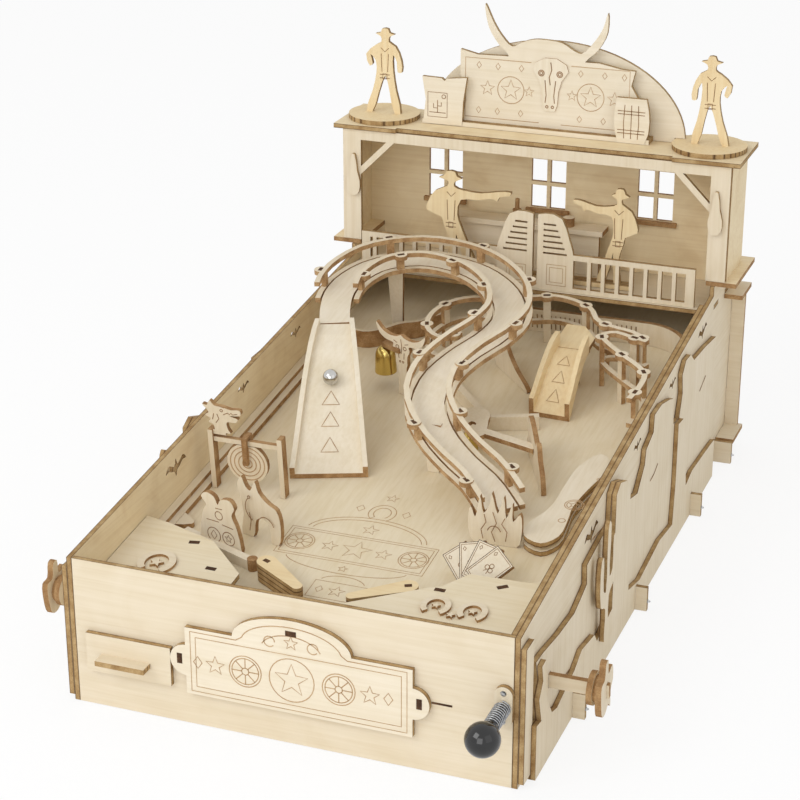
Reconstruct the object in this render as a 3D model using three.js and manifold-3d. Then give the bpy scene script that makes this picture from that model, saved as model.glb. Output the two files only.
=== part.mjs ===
// A laser-cut plywood table-top pinball game with a saloon at its back.
// Millimetres. X runs along the front panel, +Y to the back, +Z up.
// Every sheet piece is cut from one ply; the play field and all that stands
// on it are drawn level in field coordinates (x, along, above) and tilted once.
import * as THREE from 'three';
import { mergeVertices } from 'three/addons/utils/BufferGeometryUtils.js';
import ManifoldModule from 'manifold-3d';

const wasm = await ManifoldModule();
wasm.setup();

// Sheet, clearances, fineness.
const PLY = 3;
const FIT = 0.2;
const BITE = 0.4;
const ARC_STEPS = 28;
const CURVE_STEPS = 3;

// The box.
const BOX_WIDTH = 250;
const BOX_LENGTH = 465;
const DRAWN_WIDTH = 250;
const DRAWN_LENGTH = 465;
const across = (x) => (x * BOX_WIDTH) / DRAWN_WIDTH;
const along = (y) => (y * BOX_LENGTH) / DRAWN_LENGTH;
const FRONT_HEIGHT = 85.6;
const WALL_RISE = 40;
const TOWER_START = along(404);
const SEAT_HEIGHT = 131.8;
const INNER_HALF = BOX_WIDTH / 2 - PLY;
const BAR_PLACES = [76, 205, 340, 427].map(along);
const BAR_HEIGHT = 15;
const BAR_REACH = BOX_WIDTH / 2 + 13;
const BIRD_SHARE = 0.42;
const BIRD_PLACES = [[376, 111, 23], [299, 105, 16], [218, 98, 16], [124, 85, 26]];

// Side relief.
const MESA_FOOT = 18;
const STRIP_TOP = 80;
const CACTUS_HEIGHT = 72;
const CACTUS_WIDTH = 30;
const CACTUS_PLACE = [along(114), 20];

// Play field.
const FIELD_DEGREES = 6;
const FIELD_Z = 46.5;
const FIELD_END = BOX_LENGTH - 2;

// Front fittings.
const DRAWER_LEFT = across(-114.5);
const DRAWER_RIGHT = across(-65);
const DRAWER_LOW = 22;
const DRAWER_HIGH = 44.5;
const DRAWER_DEPTH = 66;
const TRAY_HEIGHT = 12;
const HANDLE_REACH = 8;
const SIGN_LEFT = across(-62);
const SIGN_RIGHT = across(76);
const SIGN_LOW = 20;
const SIGN_HIGH = 59;
const SIGN_ARCH = 15;

// Plunger.
const PLUNGER_X = across(117.6);
const PLUNGER_Z = 47.5;
const KNOB_RADIUS = 9;
const KNOB_REACH = 35;
const ROD_RADIUS = 2;
const SPRING_RADIUS = 4;
const WIRE_RADIUS = 0.5;
const SPRING_TURNS = 11;
const BRACKET_HEIGHT = 23;
const BRACKET_WIDTH = 9.5;

// Flippers and their pushers.
const FLIPPER_X = across(41);
const FLIPPER_Y = along(70);
const FLIPPER_LENGTH = 34;
const FLIPPER_REST_DEGREES = 35;
const FLIPPER_HEIGHT = PLY * 3.8;
const FLIPPER_RADIUS = 5.5;
const SHAFT_RADIUS = 2;
const CRANK_REACH = 16;
const PIN_RADIUS = 1.6;
const PUSH_Y = along(40);
const PUSH_HEIGHT = 8;
const PUSH_DROP = 13;
const PUSH_REACH = BOX_WIDTH / 2 + 35;
const DISC_RADIUS = 9;
const PUSH_KNOB_HEIGHT = 31;
const PUSH_KNOB_WIDTH = 22;

// Ramps and loop, in field coordinates.
const RAMP_FOOT = [across(-50.3), along(181)];
const RAMP_HEAD = [across(-83.7), along(279)];
const RAMP_FOOT_WIDTH = 41;
const DECK_WIDTH = 19;
const LOOP_HEIGHT = 50;
const LOOP_STATIONS = [[-92, 300], [-98, 322], [-98, 345], [-88, 370], [-62, 385], [-27, 378],
  [3, 351]];
const COLUMN_STEPS = [12, 22, 41];
const LOOP_STEPS = 50;
const DROP_STATIONS = [[17, 318, 50], [15, 292, 49.5], [4, 266, 47], [-3, 242, 43], [-1, 219, 37],
  [12, 200, 30], [29, 187, 23], [48, 176, 16.5], [64, 160, 11]];
const RAIL_WIDTH = 3.4;
const RAIL_LIFT = 8;
const LUG_RADIUS = 4.2;
const LUG_STEPS = 14;
const POST_HALF = 2.4;
const LUG_EVERY = 6;
const COLUMN_WIDTH = 7;
const SMALL_FOOT = [across(52), along(287.5)];
const SMALL_HEAD = [across(54), along(331)];
const SMALL_HEIGHT = 29;
const SMALL_WIDTH = 21;
const SMALL_CHEEK = 9;
const LANDING = [42, 360];
const GUIDE_HEIGHT = 31;
const GUIDE_STATIONS = [[11, 383], [25, 388], [40, 385], [53, 376], [62, 361], [74, 355], [88, 351],
  [99, 342]];
const HOOK_STATIONS = [[99, 341], [87, 345], [76, 348], [70, 342], [75, 334], [91, 318], [103, 307],
  [109, 298], [110, 282], [108, 266]];
const RING_STATIONS = [[-8, 373], [-22, 379], [-37, 370], [-45, 348], [-40, 326], [-28, 317],
  [-18, 327]];
const WAVE_STATIONS = [[-115, 352], [-92, 346], [-83, 352], [-73, 364], [-63, 370], [-53, 384]];
const V_STATIONS = [[-22, 310], [20, 264], [50, 274]];
const GUIDE_TIER = 14;
const FENCE_HEIGHT = 16;
const FENCE_PITCH = 3.2;

// Furniture on the field.
const APRON_HEIGHT = 16;
const APRON_LEFT = [[-47.3, 48.4], [-74.2, 74.1], [-105.9, 84.5], [-121.6, 88]];
const APRON_RIGHT = [[109, 88], [103.5, 85.9], [70.5, 84.9], [60.4, 69.3], [53.9, 65.9], [1.3, 28.2]];
const LANE_RAIL_HEIGHT = 6;
const TARGET_LEFT = across(-110.6);
const TARGET_RIGHT = across(-67);
const TARGET_Y = along(154);
const TARGET_FRAME = 39;
const TARGET_RADIUS = 12.8;
const WOLF_WIDTH = 24;
const BAG_X = across(-77);
const BAG_Y = along(90);
const BAG_WIDTH = 28;
const BAG_HEIGHT = 36;
const BAG_TURN = -15;
const BAG_RAIL = [[-103, 96], [-78, 86.5], [-53, 77]];
const BULL_X = across(-60.5);
const BULL_Y = along(106);
const BULL_WIDTH = 30;
const BULL_HEIGHT = 38;
const SKULL_X = across(-45);
const SKULL_Y = along(291);
const SKULL_HEIGHT = 46;
const SKULL_SPAN = 40;
const SKULL_TURN = -20;
const BELL_RADIUS = 7;
const BELL_HEIGHT = 18;
const BELL_LEFT = [across(-59), along(299), 11];
const BELL_RIGHT = [across(18), along(238), 0.3];
const LOW_BELL_SHARE = 0.68;
const GRIP_X = across(63);
const GRIP_Y = along(222);
const GRIP_WIDTH = 54;
const GRIP_HEIGHT = 27;
const PISTOL_WIDTH = 30;
const PISTOL_HEIGHT = 35;
const PISTOL_PLACE = [across(-0.5), along(226.5)];
const GRIP_TURN = -64;
const FLAME_X = across(66);
const FLAME_Y = along(140);
const FLAME_TURN = 2;
const FLAME_WIDTH = 31;
const FLAME_HEIGHT = 33;
const CARD_FAN_DEGREES = 28;
const CARD_LEAN = 42;
const CARD_WIDTH = 15;
const CARD_HEIGHT = 22;
const CARD_X = across(69);
const CARD_Y = along(96);
const KNIFE_X = across(14);
const KNIFE_Y = along(330);
const KNIFE_HEIGHT = 36;
const KNIFE_WIDTH = 44;
const KNIFE_TURN = -46;
const GUITAR_X = across(95);
const GUITAR_Y = along(188);
const GUITAR_LENGTH = 104;
const GUITAR_WIDTH = 21;
const GUITAR_TURN = 84;
const BALL_RADIUS = 4.9;
const BALL_SHARE = 0.52;

// Saloon.
const FLOOR_TOP = SEAT_HEIGHT - 12.8;
const FLOOR_FRONT = along(393);
const LEDGE_TOP = SEAT_HEIGHT + FIT + PLY;
const LEDGE_OUT = BOX_WIDTH / 2 + 13.6;
const TOWER_BACK = BOX_LENGTH - 15;
const ROOF_TOP = 214.8;
const ROOF_HALF = BOX_WIDTH / 2 + 12;
const ROOF_FRONT = TOWER_START - 1;
const ROOF_BACK = BOX_LENGTH - 8;
const SIDE_OUT = BOX_WIDTH / 2 + 6.5;
const POST_WIDTH = 12.6;
const POST_Y = TOWER_START + 4;
const BEAM_HEIGHT = 7;
const BRACE_SPAN = 24;
const WINDOW_PLACES = [-74, -1, 72.6].map(across);
const WINDOW_WIDTH = 24;
const WINDOW_LOW = 157;
const WINDOW_HIGH = 190.5;
const RAILING_Y = FLOOR_FRONT + 2;
const RAILING_TOP = 145;
const DOOR_LEFT = across(-19);
const DOOR_RIGHT = across(33.4);
const DOOR_TOP = 171.3;
const DOOR_GAP = 3.2;
const SLATS = 6;
const RAILING_HALF = across(114);
const BALUSTER_PITCH = 9.4;
const BALUSTER_WIDTH = 2.5;
const SLAT_PITCH = 3.9;
const BAR_Y = TOWER_BACK - 18;
const BAR_LEFT = across(-62);
const BAR_RIGHT = across(43);
const LANTERN_WIDTH = 9;
const LANTERN_HEIGHT = 28;
const LANTERN_LOW = 167;
const FIGURE_Y = TOWER_BACK - 36;
const FIGURE_HEIGHT = 67;
const GUNMAN_WIDTH = 60;
const GUNMAN_LEFT = across(-46);
const GUNMAN_RIGHT = across(49);
const FAR_GUNMAN_SHARE = 0.74;
const STAND_RADIUS = 24;
const STAND_X = across(111);
const STAND_Y = TOWER_BACK - 20;
const ROOF_FIGURE_HEIGHT = 57;
const ROOF_FIGURE_WIDTH = 26;
const ARCH_X = across(6.5);
const ARCH_HALF = across(87);
const ARCH_HEIGHT = 59.5;
const ARCH_Y = TOWER_BACK - 14;
const BOARD_WIDTH = across(121);
const BOARD_HEIGHT = 49;
const BOARD_LEFT = across(-57.5);
const NOTICE = [across(-82), 31, 33];
const BARREL = [across(49), 23.5, 29.5];
const HORN_SPAN = 82;
const HORN_LIFT = 81.5;

// Outlines, as shares of the width and height they are scaled to.
const ROCK_SHARES = [[0.023, 0], [0.023, 0.24], [0.04, 0.23], [0.03, 0.34], [0.043, 0.4], [0.035, 0.49],
  [0.06, 0.485], [0.12, 0.455], [0.18, 0.44], [0.204, 0.46], [0.23, 0.485], [0.228, 0.575], [0.29, 0.6],
  [0.325, 0.6], [0.327, 0.735], [0.344, 0.765], [0.376, 0.727], [0.392, 0.66], [0.396, 0.45],
  [0.409, 0.45], [0.415, 0.575], [0.452, 0.545], [0.484, 0.635], [0.488, 0.7], [0.522, 0.735],
  [0.524, 0.815], [0.56, 0.815], [0.602, 0.78], [0.624, 0.755], [0.63, 0.62], [0.662, 0.605],
  [0.675, 0.71], [0.669, 0.81], [0.686, 0.86], [0.712, 0.855], [0.734, 0.8], [0.8, 0.78], [0.866, 0.75],
  [0.868, 0]];
const RIDGE_SHARES = [[0.023, 0], [0.023, 0.24], [0.04, 0.23], [0.03, 0.34], [0.043, 0.4],
  [0.038, 0.47], [0.052, 0.475], [0.058, 0.3], [0.08, 0.19], [0.1, 0.17], [0.168, 0.21], [0.196, 0.25],
  [0.25, 0.22], [0.262, 0.17], [0.327, 0.205], [0.327, 0.735], [0.344, 0.765], [0.376, 0.727],
  [0.392, 0.66], [0.404, 0.16], [0.46, 0.115], [0.51, 0.13], [0.56, 0.145], [0.628, 0.115],
  [0.635, 0.32], [0.635, 0.615], [0.662, 0.605], [0.682, 0.47], [0.697, 0.21], [0.732, 0.235],
  [0.84, 0.21], [0.868, 0.2], [0.868, 0]];
const BIRD_SHARES = [[0, 0.5], [0.14, 0.86], [0.3, 0.72], [0.42, 0.6], [0.5, 1], [0.58, 0.62], [0.72, 0.74],
  [0.86, 0.9], [1, 0.6], [0.84, 0.62], [0.68, 0.42], [0.56, 0.3], [0.5, 0], [0.42, 0.3], [0.28, 0.42],
  [0.14, 0.56]];
const CACTUS_SHARES = [[0.4, 0], [0.4, 0.28], [0.08, 0.36], [0.04, 0.75], [0.18, 0.76], [0.24, 0.47],
  [0.4, 0.43], [0.42, 0.95], [0.52, 1], [0.62, 0.95], [0.62, 0.52], [0.8, 0.55], [0.82, 0.82],
  [0.95, 0.82], [0.96, 0.44], [0.62, 0.36], [0.62, 0]];
const FIGURE_SHARES = [[0.02, 0], [0.2, 0.27], [0.3, 0.48], [0.28, 0.62], [0.14, 0.69], [0.2, 0.58],
  [0.12, 0.55], [0.02, 0.69], [0.3, 0.81], [0.44, 0.85], [0.42, 0.91], [0.28, 0.94], [0.42, 0.955],
  [0.46, 1], [0.62, 1], [0.66, 0.955], [0.8, 0.94], [0.66, 0.91], [0.64, 0.85], [0.82, 0.8],
  [0.98, 0.64], [0.99, 0.5], [0.88, 0.5], [0.86, 0.62], [0.76, 0.7], [0.76, 0.5], [0.84, 0.27],
  [0.96, 0], [0.8, 0], [0.66, 0.26], [0.54, 0.45], [0.36, 0.24], [0.18, 0]];
const GUNMAN_SHARES = [[0.24, 0], [0.3, 0.25], [0.22, 0.45], [0.2, 0.52], [0.02, 0.58], [0.03, 0.66],
  [0.12, 0.79], [0.26, 0.85], [0.27, 0.9], [0.16, 0.93], [0.22, 0.955], [0.25, 1], [0.35, 1],
  [0.37, 0.955], [0.43, 0.935], [0.35, 0.9], [0.34, 0.85], [0.45, 0.82], [0.66, 0.81], [0.84, 0.84],
  [1, 0.85], [0.99, 0.815], [0.87, 0.79], [0.84, 0.74], [0.8, 0.765], [0.62, 0.735], [0.42, 0.72],
  [0.38, 0.56], [0.42, 0.45], [0.52, 0.24], [0.62, 0], [0.5, 0], [0.37, 0.36], [0.34, 0]];
const WOLF_SHARES = [[0.32, 0], [0.26, 0.24], [0.14, 0.3], [0.2, 0.42], [0.06, 0.52], [0.16, 0.62],
  [0, 0.86], [0.12, 0.84], [0.2, 1], [0.32, 0.86], [0.52, 0.84], [0.74, 0.78], [0.98, 0.8], [1, 0.66],
  [0.86, 0.6], [0.7, 0.58], [0.92, 0.5], [0.84, 0.38], [0.62, 0.36], [0.64, 0.12], [0.7, 0]];
const BAG_SHARES = [[0.02, 0], [0.02, 0.4], [0.12, 0.68], [0.2, 0.78], [0.08, 0.9], [0.22, 1],
  [0.42, 0.96], [0.5, 0.84], [0.58, 0.94], [0.82, 0.98], [0.92, 0.86], [0.84, 0.72], [0.95, 0.5],
  [0.98, 0]];
const BULL_SHARES = [[0.04, 0], [0.1, 0.35], [0.06, 0.6], [0, 0.84], [0.1, 1], [0.2, 0.84], [0.3, 0.8],
  [0.42, 0.98], [0.5, 0.8], [0.72, 0.66], [0.9, 0.6], [0.98, 0.34], [0.9, 0], [0.74, 0], [0.7, 0.3],
  [0.56, 0.38], [0.4, 0.32], [0.3, 0]];
const SKULL_SHARES = [[0.4, 0], [0.38, 0.3], [0.33, 0.46], [0.34, 0.58], [0.18, 0.62], [0.06, 0.74],
  [0, 1], [0.12, 0.84], [0.26, 0.76], [0.42, 0.78], [0.5, 0.84], [0.58, 0.78], [0.74, 0.76],
  [0.88, 0.84], [1, 1], [0.94, 0.74], [0.82, 0.62], [0.66, 0.58], [0.67, 0.46], [0.62, 0.3], [0.6, 0]];
const HORN_SHARES = [[0.2, 0.5], [0.2, 0.6], [0.12, 0.68], [0.03, 0.82], [0, 1], [0.07, 0.86],
  [0.14, 0.755], [0.23, 0.675], [0.31, 0.715], [0.4, 0.745], [0.5, 0.75], [0.64, 0.735], [0.74, 0.68],
  [0.8, 0.665], [0.9, 0.77], [0.965, 0.88], [1, 1], [1, 0.84], [0.93, 0.7], [0.83, 0.6], [0.8, 0.5]];
const PISTOL_SHARES = [[0, 0.72], [0.02, 0.9], [0.36, 0.92], [0.44, 1], [0.66, 1], [0.84, 0.86],
  [0.9, 0.6], [1, 0.12], [0.86, 0], [0.76, 0.1], [0.7, 0.46], [0.58, 0.5], [0.5, 0.36], [0.4, 0.5],
  [0.36, 0.68]];
const GRIP_SHARES = [[0, 0], [0, 0.3], [0.1, 0.5], [0.02, 0.78], [0.12, 1], [0.4, 0.94], [0.62, 0.8],
  [0.66, 0.92], [0.74, 0.86], [0.78, 0.66], [0.94, 0.4], [1, 0.12], [1, 0]];
const FLAME_SHARES = [[0.1, 0], [0, 0.4], [0.06, 0.7], [0.14, 0.5], [0.24, 0.92], [0.3, 0.6],
  [0.42, 0.8], [0.46, 1], [0.56, 0.62], [0.68, 0.95], [0.72, 0.55], [0.84, 0.84], [0.84, 0.5],
  [0.98, 0.66], [1, 0.3], [0.9, 0]];
const KNIFE_SHARES = [[0, 0], [0, 0.3], [0.06, 0.62], [0.02, 0.92], [0.12, 1], [0.24, 0.86],
  [0.32, 0.6], [0.44, 0.42], [0.66, 0.24], [1, 0.06], [1, 0]];
const GUITAR_SHARES = [[0, 0.3], [0.04, 0.86], [0.16, 1], [0.3, 0.82], [0.42, 0.78], [0.6, 0.86],
  [0.82, 0.9], [1, 0.62], [0.97, 0.3], [0.8, 0.12], [0.6, 0.2], [0.4, 0.22], [0.28, 0.1], [0.1, 0]];
const PARCHMENT_SHARES = [[0.01, 0], [0.035, 0.3], [0.03, 0.5], [0, 0.66], [0, 1], [0.1, 0.945],
  [0.25, 0.955], [0.78, 0.965], [0.9, 0.91], [0.975, 0.9], [0.955, 0.7], [1, 0.52], [0.975, 0.25],
  [0.99, 0]];
const NOTICE_SHARES = [[0.02, 0], [0.08, 0.5], [0, 0.96], [0.44, 0.95], [0.5, 0.9], [0.56, 0.95],
  [1, 1], [0.92, 0.5], [0.9, 0.02]];
const BARREL_SHARES = [[0.12, 0], [0.04, 0.25], [0, 0.5], [0.02, 0.75], [0.06, 1], [0.9, 1],
  [0.97, 0.75], [1, 0.5], [0.98, 0.25], [0.88, 0]];
const DOOR_SHARES = [[0, 0], [0, 0.98], [0.2, 1], [0.42, 1], [0.66, 0.95], [0.78, 0.83], [0.88, 0.68],
  [0.97, 0.55], [1, 0.45], [1, 0]];
const LANTERN_SHARES = [[0.3, 0], [0.05, 0.1], [0, 0.35], [0.2, 0.6], [0.4, 1], [0.62, 1], [0.8, 0.6],
  [1, 0.35], [0.95, 0.08], [0.62, 0]];
const FINGER_SHARES = [[0.1, 0.1], [0, 0.4], [0.05, 0.72], [0.3, 0.74], [0.42, 1], [0.6, 1],
  [0.62, 0.72], [0.95, 0.75], [1, 0.45], [0.8, 0.3], [0.78, 0], [0.6, 0.12], [0.35, 0.05]];

// Solids from sheets.

/** A closed three.js geometry as a solid for cutting and joining. */
function solidOf(geometry) {
  const bare = geometry.clone();
  bare.deleteAttribute('normal');
  bare.deleteAttribute('uv');
  const welded = mergeVertices(bare, 1e-4);
  return new wasm.Manifold(new wasm.Mesh({
    numProp: 3,
    vertProperties: new Float32Array(welded.attributes.position.array),
    triVerts: new Uint32Array(welded.index.array),
  }));
}

/** A level sheet of the given outline, from z = 0 up to its thickness. */
function sheet(points, thickness = PLY) {
  const shape = new THREE.Shape(points.map(([x, y]) => new THREE.Vector2(x, y)));
  return solidOf(new THREE.ExtrudeGeometry(shape, { depth: thickness, bevelEnabled: false }));
}

/** Lifts a level sheet upright so it faces the front, its near face at y = 0. */
const facing = (solid, thickness = PLY) => solid.rotate([90, 0, 0]).translate([0, thickness, 0]);

/** Turns a level sheet into a side sheet in the YZ plane, from x = 0 outward. */
const sideways = (solid) => solid.rotate([90, 0, 90]);

/** Tilts what was drawn level on the field into its place in the box. */
const onField = (solid) => solid.rotate([FIELD_DEGREES, 0, 0]).translate([0, 0, FIELD_Z]);

/** A box between two corners. */
function block([x0, y0, z0], [x1, y1, z1]) {
  const box = new THREE.BoxGeometry(x1 - x0, y1 - y0, z1 - z0);
  return solidOf(box.translate((x0 + x1) / 2, (y0 + y1) / 2, (z0 + z1) / 2));
}

/** An upright round bar standing at (x, y) from low to high. */
function post(x, y, low, high, radius, steps = ARC_STEPS) {
  const bar = new THREE.CylinderGeometry(radius, radius, high - low, steps);
  return solidOf(bar.rotateX(Math.PI / 2).translate(x, y, (low + high) / 2));
}

/** Points of an arc from one angle to another, in degrees. */
function arc(cx, cy, rx, ry, from, to, steps = ARC_STEPS) {
  return Array.from({ length: steps + 1 }, (_, i) => {
    const angle = THREE.MathUtils.degToRad(from + ((to - from) * i) / steps);
    return [cx + rx * Math.cos(angle), cy + ry * Math.sin(angle)];
  });
}

/** Scales an outline given in shares to its real width and height. */
const scaled = (shares, width, height) => shares.map(([x, y]) => [x * width, y * height]);

/** Rounds an outline by a closed curve through its points. */
function rounded(points, steps = CURVE_STEPS) {
  const through = points.map(([x, y]) => new THREE.Vector3(x, y, 0));
  const curve = new THREE.CatmullRomCurve3(through, true, 'centripetal');
  return curve.getPoints(points.length * steps).slice(0, -1).map((p) => [p.x, p.y]);
}

/** Joins solids that are glued or slotted into one piece. */
const joined = (...solids) => solids.reduce((sum, next) => sum.add(next));

/** Cuts a list of solids out of another. */
const cut = (solid, tools) => tools.reduce((rest, tool) => rest.subtract(tool), solid);

/** A flat cut-out figure standing upright with its foot at (x, y). */
function standing(shares, width, height, x, y, low = FIT) {
  const plate = facing(sheet(rounded(scaled(shares, width, height)))).trimByPlane([0, 0, 1], 0);
  return plate.translate([x - width / 2, y, low]);
}

/** A strip swept along a path of [x, y, z]; section gives its lateral and height span. */
function strip(path, section) {
  const last = path.length - 1;
  const corners = [];
  path.forEach(([x, y, z], i) => {
    const [ax, ay] = path[Math.max(i - 1, 0)];
    const [bx, by] = path[Math.min(i + 1, last)];
    const run = Math.hypot(bx - ax, by - ay);
    const side = [-(by - ay) / run, (bx - ax) / run];
    const [inner, outer, low, high] = section(i / last);
    for (const [off, up] of [[inner, low], [outer, low], [outer, high], [inner, high]]) {
      corners.push(x + side[0] * off, y + side[1] * off, z + up);
    }
  });
  const faces = [0, 1, 2, 0, 2, 3];
  for (let i = 0; i < last; i += 1) {
    for (let k = 0; k < 4; k += 1) {
      const a = i * 4 + k;
      const b = i * 4 + ((k + 1) % 4);
      faces.push(a, a + 4, b, b, a + 4, b + 4);
    }
  }
  faces.push(...[2, 1, 0, 3, 2, 0].map((k) => last * 4 + k));
  const geometry = new THREE.BufferGeometry();
  geometry.setAttribute('position', new THREE.Float32BufferAttribute(corners, 3));
  geometry.setIndex(faces);
  const solid = solidOf(geometry);
  if (solid.volume() > 0) return solid;
  geometry.setIndex(faces.reduce((turned, _, i) => (i % 3 ? turned
    : turned.concat(faces[i], faces[i + 2], faces[i + 1])), []));
  return solidOf(geometry);
}

/** Evenly spaced points along a smooth curve through [x, y, z] stations. */
function smoothPath(stations, steps) {
  const curve = new THREE.CatmullRomCurve3(stations.map((p) => new THREE.Vector3(...p)), false,
      'centripetal');
  return curve.getSpacedPoints(steps).map((p) => [p.x, p.y, p.z]);
}

/** Drawn [x, y] or [x, y, z] stations moved along with the box's width and length. */
const onPlan = (stations, z = 0) => stations.map(([x, y, up = z]) => [across(x), along(y), up]);

// Finishes.

const finishes = {
  ply: ['#e6d8ba', 0.72, 0],
  plyDark: ['#cdb78b', 0.75, 0],
  steel: ['#b9bcc0', 0.25, 1],
  brass: ['#c9a548', 0.28, 1],
  black: ['#17171a', 0.22, 0],
};

const group = new THREE.Group();
group.name = 'wooden_pinball_game';

/** Adds a finished solid to the group under its own name. */
function add(name, solid, finish = 'ply') {
  const mesh = solid.getMesh();
  const geometry = new THREE.BufferGeometry();
  geometry.setAttribute('position', new THREE.Float32BufferAttribute(mesh.vertProperties, 3));
  geometry.setIndex([...mesh.triVerts]);
  const flat = geometry.toNonIndexed();
  flat.computeVertexNormals();
  const [color, roughness, metalness] = finishes[finish];
  const node = new THREE.Mesh(flat, new THREE.MeshStandardMaterial({ color, roughness, metalness }));
  node.name = name;
  group.add(node);
}

// The box.

const wallTop = (y) => FRONT_HEIGHT + (WALL_RISE * y) / TOWER_START;

/** The notches the cross bars and pusher leave through everything outside x = 0. */
function sideNotches() {
  const bars = BAR_PLACES.map((y) => block([0, y - FIT, -PLY], [BAR_REACH * 2, y + PLY + FIT,
      BAR_HEIGHT + FIT]));
  const slot = onField(block([0, PUSH_Y - PLY / 2 - BITE, -PUSH_DROP - BITE],
    [BAR_REACH * 2, PUSH_Y + PLY / 2 + BITE, -PUSH_DROP + PUSH_HEIGHT + BITE]));
  const floorTabs = [FLOOR_FRONT + POST_WIDTH, TOWER_BACK - POST_WIDTH].map((y) => block(
    [0, y - FIT, FLOOR_TOP - PLY - FIT], [BOX_WIDTH, y + POST_WIDTH + FIT, FLOOR_TOP + FIT]));
  return [...bars, slot, ...floorTabs];
}

/** Flying-bird openings in a side wall. */
function birds() {
  return BIRD_PLACES.map(([y, z, size]) => {
    const outline = rounded(scaled(BIRD_SHARES, size, size * BIRD_SHARE));
    return sideways(sheet(outline, BOX_WIDTH)).translate([0, along(y) - size / 2, z - (size * BIRD_SHARE) / 2]);
  });
}

/** The lining that stands on the field inside the right wall, notched over the plunger. */
function lining() {
  const onTop = (y) => FIELD_Z + y * Math.tan(THREE.MathUtils.degToRad(FIELD_DEGREES)) + BITE;
  const start = PLY + FIT;
  const notch = MESA_FOOT * 2;
  const end = FLOOR_FRONT - PLY;
  const over = PLUNGER_Z + KNOB_RADIUS * 1.6;
  const outline = [[start, over], [notch, over], [notch, onTop(notch)], [end, onTop(end)],
    [end, wallTop(end) - FIT], [start, wallTop(start) - FIT]];
  return sideways(sheet(outline, PLY + FIT)).translate([INNER_HALF - PLY, 0, 0]);
}

function wall(side) {
  const outline = [[0, 0], [BOX_LENGTH, 0], [BOX_LENGTH, SEAT_HEIGHT], [TOWER_START, SEAT_HEIGHT],
    [TOWER_START, wallTop(TOWER_START)], [0, FRONT_HEIGHT]];
  const plate = sideways(sheet(outline)).translate([INNER_HALF, 0, 0]);
  const whole = side > 0 ? plate.add(lining()) : plate;
  return cut(whole, [...sideNotches(), ...earSlots(), ...birds()]);
}

/** Two stacked layers of rock outline and a corner strip, with a tall cactus outermost. */
function mesas() {
  const first = BOX_WIDTH / 2 + FIT;
  const second = first + PLY - FIT;
  const third = second + PLY - FIT;
  const rocks = sideways(sheet(scaled(ROCK_SHARES, BOX_LENGTH, SEAT_HEIGHT))).translate([first, 0, 0]);
  const ridge = sideways(sheet(scaled(RIDGE_SHARES, BOX_LENGTH, SEAT_HEIGHT))).translate([second, 0, 0]);
  const corner = block([first, 0, PLY], [first + PLY, PLY * 4, STRIP_TOP]);
  const cactus = sideways(sheet(rounded(scaled(CACTUS_SHARES, CACTUS_WIDTH, CACTUS_HEIGHT))))
    .translate([third, ...CACTUS_PLACE]);
  return cut(joined(rocks, ridge, corner, cactus), sideNotches());
}

/** The back panel; its ears reach past the walls and carry two small ledges a side. */
function backPanel() {
  const near = BOX_LENGTH - PLY;
  const panel = block([-INNER_HALF + FIT, near, 0], [INNER_HALF - FIT, BOX_LENGTH, SEAT_HEIGHT - PLY]);
  const x0 = BOX_WIDTH / 2 + FIT;
  const x1 = x0 + MESA_FOOT * 0.66;
  const low = MESA_FOOT * 0.6;
  const high = SEAT_HEIGHT - MESA_FOOT;
  const ears = [-1, 1].flatMap((side) => {
    const span = side < 0 ? [-x1 + PLY, -x0] : [x0, x1 - PLY];
    const wide = side < 0 ? [-x1, -x0] : [x0, x1];
    const ledge = (z) => block([wide[0], BOX_LENGTH - MESA_FOOT * 1.6, z], [wide[1], BOX_LENGTH, z + PLY]);
    const through = (z) => block([side < 0 ? span[0] : INNER_HALF - PLY, near, z],
      [side < 0 ? -INNER_HALF + PLY : span[1], BOX_LENGTH, z + MESA_FOOT]);
    return [block([span[0], near, low], [span[1], BOX_LENGTH, high]), ledge(low), ledge(high - BITE),
      through(low * 2), through(high - MESA_FOOT * 2)];
  });
  return joined(panel, ...ears);
}

/** The open-ended slots the back panel's ears pass through. */
function earSlots() {
  const low = MESA_FOOT * 1.2;
  const high = SEAT_HEIGHT - MESA_FOOT * 3;
  return [low, high].map((z) => block([0, BOX_LENGTH - PLY - FIT, z - FIT], [BOX_WIDTH, BOX_LENGTH + PLY,
      z + MESA_FOOT + FIT]));
}

function crossBar(y) {
  const tall = block([-INNER_HALF + FIT, y, 0], [INNER_HALF - FIT, y + PLY, BAR_HEIGHT * 1.6]);
  return tall.add(block([-BAR_REACH, y, 0], [BAR_REACH, y + PLY, BAR_HEIGHT]));
}

function frontPanel() {
  const panel = block([-INNER_HALF + FIT, 0, 0], [INNER_HALF - FIT, PLY, FRONT_HEIGHT]);
  const tray = block([DRAWER_LEFT + PLY - FIT, -PLY, DRAWER_LOW + PLY - FIT],
    [DRAWER_RIGHT - PLY + FIT, PLY * 2, DRAWER_LOW + PLY * 2 + TRAY_HEIGHT + FIT]);
  const bore = post(PLUNGER_X, -PLUNGER_Z, -PLY, PLY * 2, ROD_RADIUS + FIT).rotate([-90, 0, 0]);
  return cut(panel, [tray, bore]);
}

/** The play field with its flipper bores, drawn level. */
function field() {
  const plate = block([-INNER_HALF + FIT, PLY + BITE * 2, -PLY], [INNER_HALF - FIT, FIELD_END, 0]);
  const bores = [-1, 1].map((side) => post(side * FLIPPER_X, FLIPPER_Y, -PLY * 2, PLY, SHAFT_RADIUS + FIT));
  const drain = block([-FLIPPER_X / 2, PLY * 3, -PLY * 2], [FLIPPER_X / 2, PLY * 9, PLY]);
  const lane = block([PLUNGER_X - MESA_FOOT / 4, 0, -PLY * 2], [PLUNGER_X + PLY + BITE, MESA_FOOT * 2,
      PLY]);
  return onField(cut(plate, [...bores, drain, lane]));
}

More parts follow.
